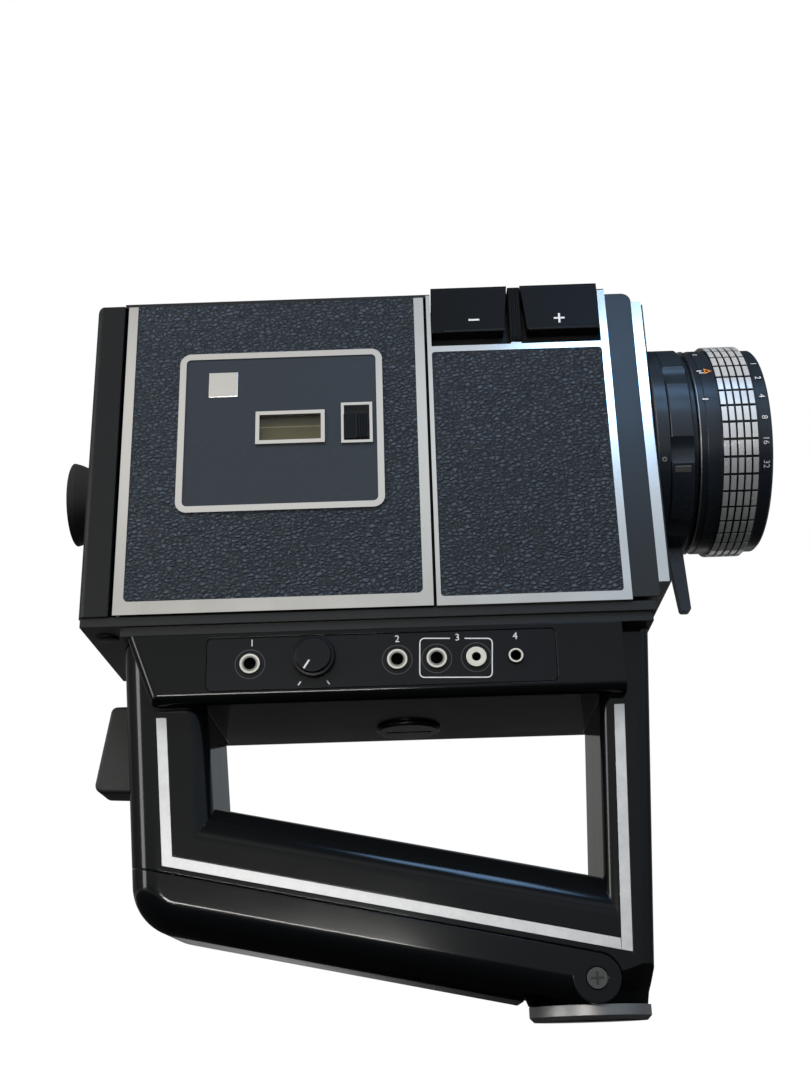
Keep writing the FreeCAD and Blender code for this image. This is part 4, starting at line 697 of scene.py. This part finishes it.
def buildLensPrints():
    radius = lensPrint["radius"]
    bm = bmesh.new()
    for count, digits in enumerate(lensPrint["numbers"]):
        angle = lensPrint["firstAngle"] + lensPrint["angleStep"] * count
        addText(bm, digits, onLens(lensPrint["numbersAt"], angle, radius), lensPrint["numberSize"])
    for along, angle, wide, long in lensPrint["bars"]:
        addBlock(bm, onLens(along, angle, radius), (wide, long, lensPrint["barDepth"]))
    finishPiece("lensNumbers", bm, "focus_ring_body", whitePrint)

    bm = bmesh.new()
    along, angle, size = lensPrint["wedge"]
    where = onLens(along, angle, radius + lensPrint["wedgeLift"])
    corners = [bm.verts.new(where @ (Vector((right, up, 0)) * size * mm))
               for right, up in ((-0.5, -0.4), (0.5, -0.4), (0, 0.5))]
    bm.faces.new(corners)
    bm.normal_update()
    inner = bmesh.ops.inset_region(bm, faces=bm.faces[:], thickness=lensPrint["wedgeLine"] * mm,
                                   use_boundary=True, use_even_offset=True)
    rim = set(inner["faces"])
    bmesh.ops.delete(bm, geom=[part for part in bm.faces if part not in rim], context="FACES")
    bmesh.ops.solidify(bm, geom=bm.faces[:], thickness=lensPrint["wedgeDepth"] * mm)
    finishPiece("focusIndex", bm, "focus_ring_body", orangePrint)

    bm = bmesh.new()
    addBlock(bm, onLens(*lensPrint["plateAt"]), lensPrint["plate"], lensPrint["plateRounding"])
    finishPiece("zoomPlate", bm, "zoom_ring_body", satinSteel)

    # Painted highlight: a thin bright steel ring where the focus ring's rear edge catches light
    bm = bmesh.new()
    where = spot((lensPrint["highlightAt"], 0, lensHeight), (0, 1, 0), (0, 0, 1))
    addTurned(bm, where, tube(*lensPrint["line"]), lensPrint["highlightSteps"])
    finishPiece("ringEdgeHighlight", bm, "focus_ring_body", groundSteel, True)

    bm = bmesh.new()
    addTurned(bm, onLens(*lensPrint["dotAt"]), tube(*lensPrint["dot"]), lensPrint["dotSteps"])
    finishPiece("barrelDot", bm, "camera", groundSteel, True)


buildGainKnob()
buildPanelPrints()
buildKeyDetails()
buildLatchFace()
buildBadgeAndScrew()
buildLensPrints()
print("small pieces made")


# Pale floor and plain soft lamps; what shiny parts mirror is a dim room, lighter at the sides.
# The floor is dark to all but camera rays near the object, and see-through from below
studio = {"worldLevel": 0.34, "floorSeen": 0.86, "floorReach": 3.0,
          "floorMirrored": (0.03, 0.45), "mirrorFrom": (0.46, 0.62), "fade": (0.8, 1.4),
          "mirroredUp": ((0.5, 0.46), (0.645, 0.72), (0.662, 0.34), (0.682, 0.76), (0.735, 0.84),
                         (0.80, 0.20), (0.92, 0.05)),
          "mirroredSide": ((0.0, 1.0), (0.35, 0.9), (0.5, 0.5), (0.62, 0.26), (1.0, 0.34))}


def buildStage():
    bm = bmesh.new()
    bmesh.ops.create_grid(bm, x_segments=2, y_segments=2, size=studio["floorReach"])
    mesh = bpy.data.meshes.new("floor")
    bm.to_mesh(mesh)
    bm.free()
    floor = bpy.data.objects.new("floor", mesh)
    bpy.context.collection.objects.link(floor)
    paint = bpy.data.materials.new("paleFloor")
    g = Graph(paint)
    under = g.add("ShaderNodeNewGeometry", out="Backfacing")
    seen = g.add("ShaderNodeLightPath", out="Is Camera Ray")
    x, y = g.axes("XY")
    away = g.add("ShaderNodeMath", {"operation": "SQRT"}, {0: x * x + y * y})
    outer = g.range(away, *studio["mirrorFrom"])
    near, far = studio["floorMirrored"]
    shade = g.blend(seen, g.blend(outer, grey(near), grey(far)), grey(studio["floorSeen"]))
    pale = g.add("ShaderNodeBsdfDiffuse", None, {"Color": shade})
    clear = g.add("ShaderNodeBsdfTransparent")
    gone = g.maths("MAXIMUM", under, g.range(away, *studio["fade"]))
    mixed = g.add("ShaderNodeMixShader", None, {0: gone * seen, 1: pale, 2: clear})
    g.add("ShaderNodeOutputMaterial", None, {"Surface": mixed})
    mesh.materials.append(paint)

    world = bpy.data.worlds.new("studio")
    bpy.context.scene.world = world
    g = Graph(world)
    rays = [g.add("ShaderNodeLightPath", out=out) for out in
            ("Is Camera Ray", "Is Glossy Ray", "Is Transmission Ray")]
    x, y, z = g.axes(kind="Generated")
    room = (g.ramp(z * 0.5 + 0.5, *studio["mirroredUp"])
            * g.ramp(y * 0.5 + 0.5, *studio["mirroredSide"]))
    shown = g.maths("MAXIMUM", rays[0], rays[2])
    diffuse = 1 - g.maths("MAXIMUM", shown, rays[1])
    level = shown + rays[1] * room + diffuse * studio["worldLevel"]
    cool = g.ramp(x * 0.5 + 0.5, (0.46, 0.0), (0.62, 1.0))
    tint = g.blend(cool, (1.0, 0.99, 0.95, 1), (0.80, 0.93, 1.06, 1))
    colour = g.blend(rays[1], grey(1.0), tint)
    sky = g.add("ShaderNodeBackground", None, {"Color": colour, "Strength": level})
    g.add("ShaderNodeOutputWorld", None, {"Surface": sky})


def quietLamp(name, place, aim, size, power, tint=(1, 1, 1), mirrored=True, spread=True):
    light = bpy.data.lights.new(name, "AREA")
    light.shape = "RECTANGLE"
    light.size, light.size_y = size
    light.energy = power
    light.color = tint
    lamp = bpy.data.objects.new(name, light)
    lamp.location = place
    lamp.rotation_euler = (Vector(aim) - Vector(place)).to_track_quat("-Z", "Y").to_euler()
    lamp.visible_glossy = mirrored
    lamp.visible_diffuse = spread
    bpy.context.collection.objects.link(lamp)


buildStage()
middle = (-0.06, 0, 0.12)
quietLamp("overhead", (-0.25, -0.55, 0.95), middle, (0.5, 0.35), 9, mirrored=False)
quietLamp("leftStrip", (-1.0, -0.45, 0.25), middle, (0.25, 0.8), 5)
quietLamp("rightStrip", (0.9, -0.5, 0.35), middle, (0.2, 0.8), 4, (0.9, 0.96, 1), False)
quietLamp("coolWindow", (0.14, -0.75, 0.95), middle, (0.20, 0.16), 1.4, (0.34, 0.60, 1),
          spread=False)
quietLamp("lensGlow", (0.06, -0.31, 0.335), (0.015, -0.03, 0.19), (0.07, 0.045), 0.09,
          (0.30, 0.58, 1))
quietLamp("lowStrip", (-0.17, -0.6, 0.045), middle, (0.22, 0.016), 1.0, (1, 0.98, 0.94),
          spread=False)
quietLamp("farFill", (0.1, 0.9, 0.5), middle, (0.8, 0.6), 5, mirrored=False)


# Where the photograph was taken from, worked out from its perspective
view = {
    "place": (-43.8 * mm, -394.2 * mm, -8.1 * mm),
    "right": (0.99943, 0.02104, -0.02637),
    "down": (-0.03225, 0.36344, -0.93106),
    "focal": 1325.0, "frameHeight": 1080, "sensor": 24, "clip": (0.01, 20),
}


def takeView():
    right, down = Vector(view["right"]), Vector(view["down"])
    down = (down - right * down.dot(right)).normalized()
    right.normalize()
    back = right.cross(-down)
    turn = Matrix((right, -down, back)).transposed().to_4x4()
    data = bpy.data.cameras.new("viewpoint")
    data.sensor_fit = "VERTICAL"
    data.sensor_height = view["sensor"]
    data.lens = view["sensor"] * view["focal"] / view["frameHeight"]
    data.clip_start, data.clip_end = view["clip"]
    camera = bpy.data.objects.new("viewpoint", data)
    camera.matrix_world = Matrix.Translation(Vector(view["place"])) @ turn
    bpy.context.collection.objects.link(camera)
    bpy.context.scene.camera = camera


takeView()
scene = bpy.context.scene
scene.view_settings.view_transform = "Standard"


print("stage, lights and camera in place")
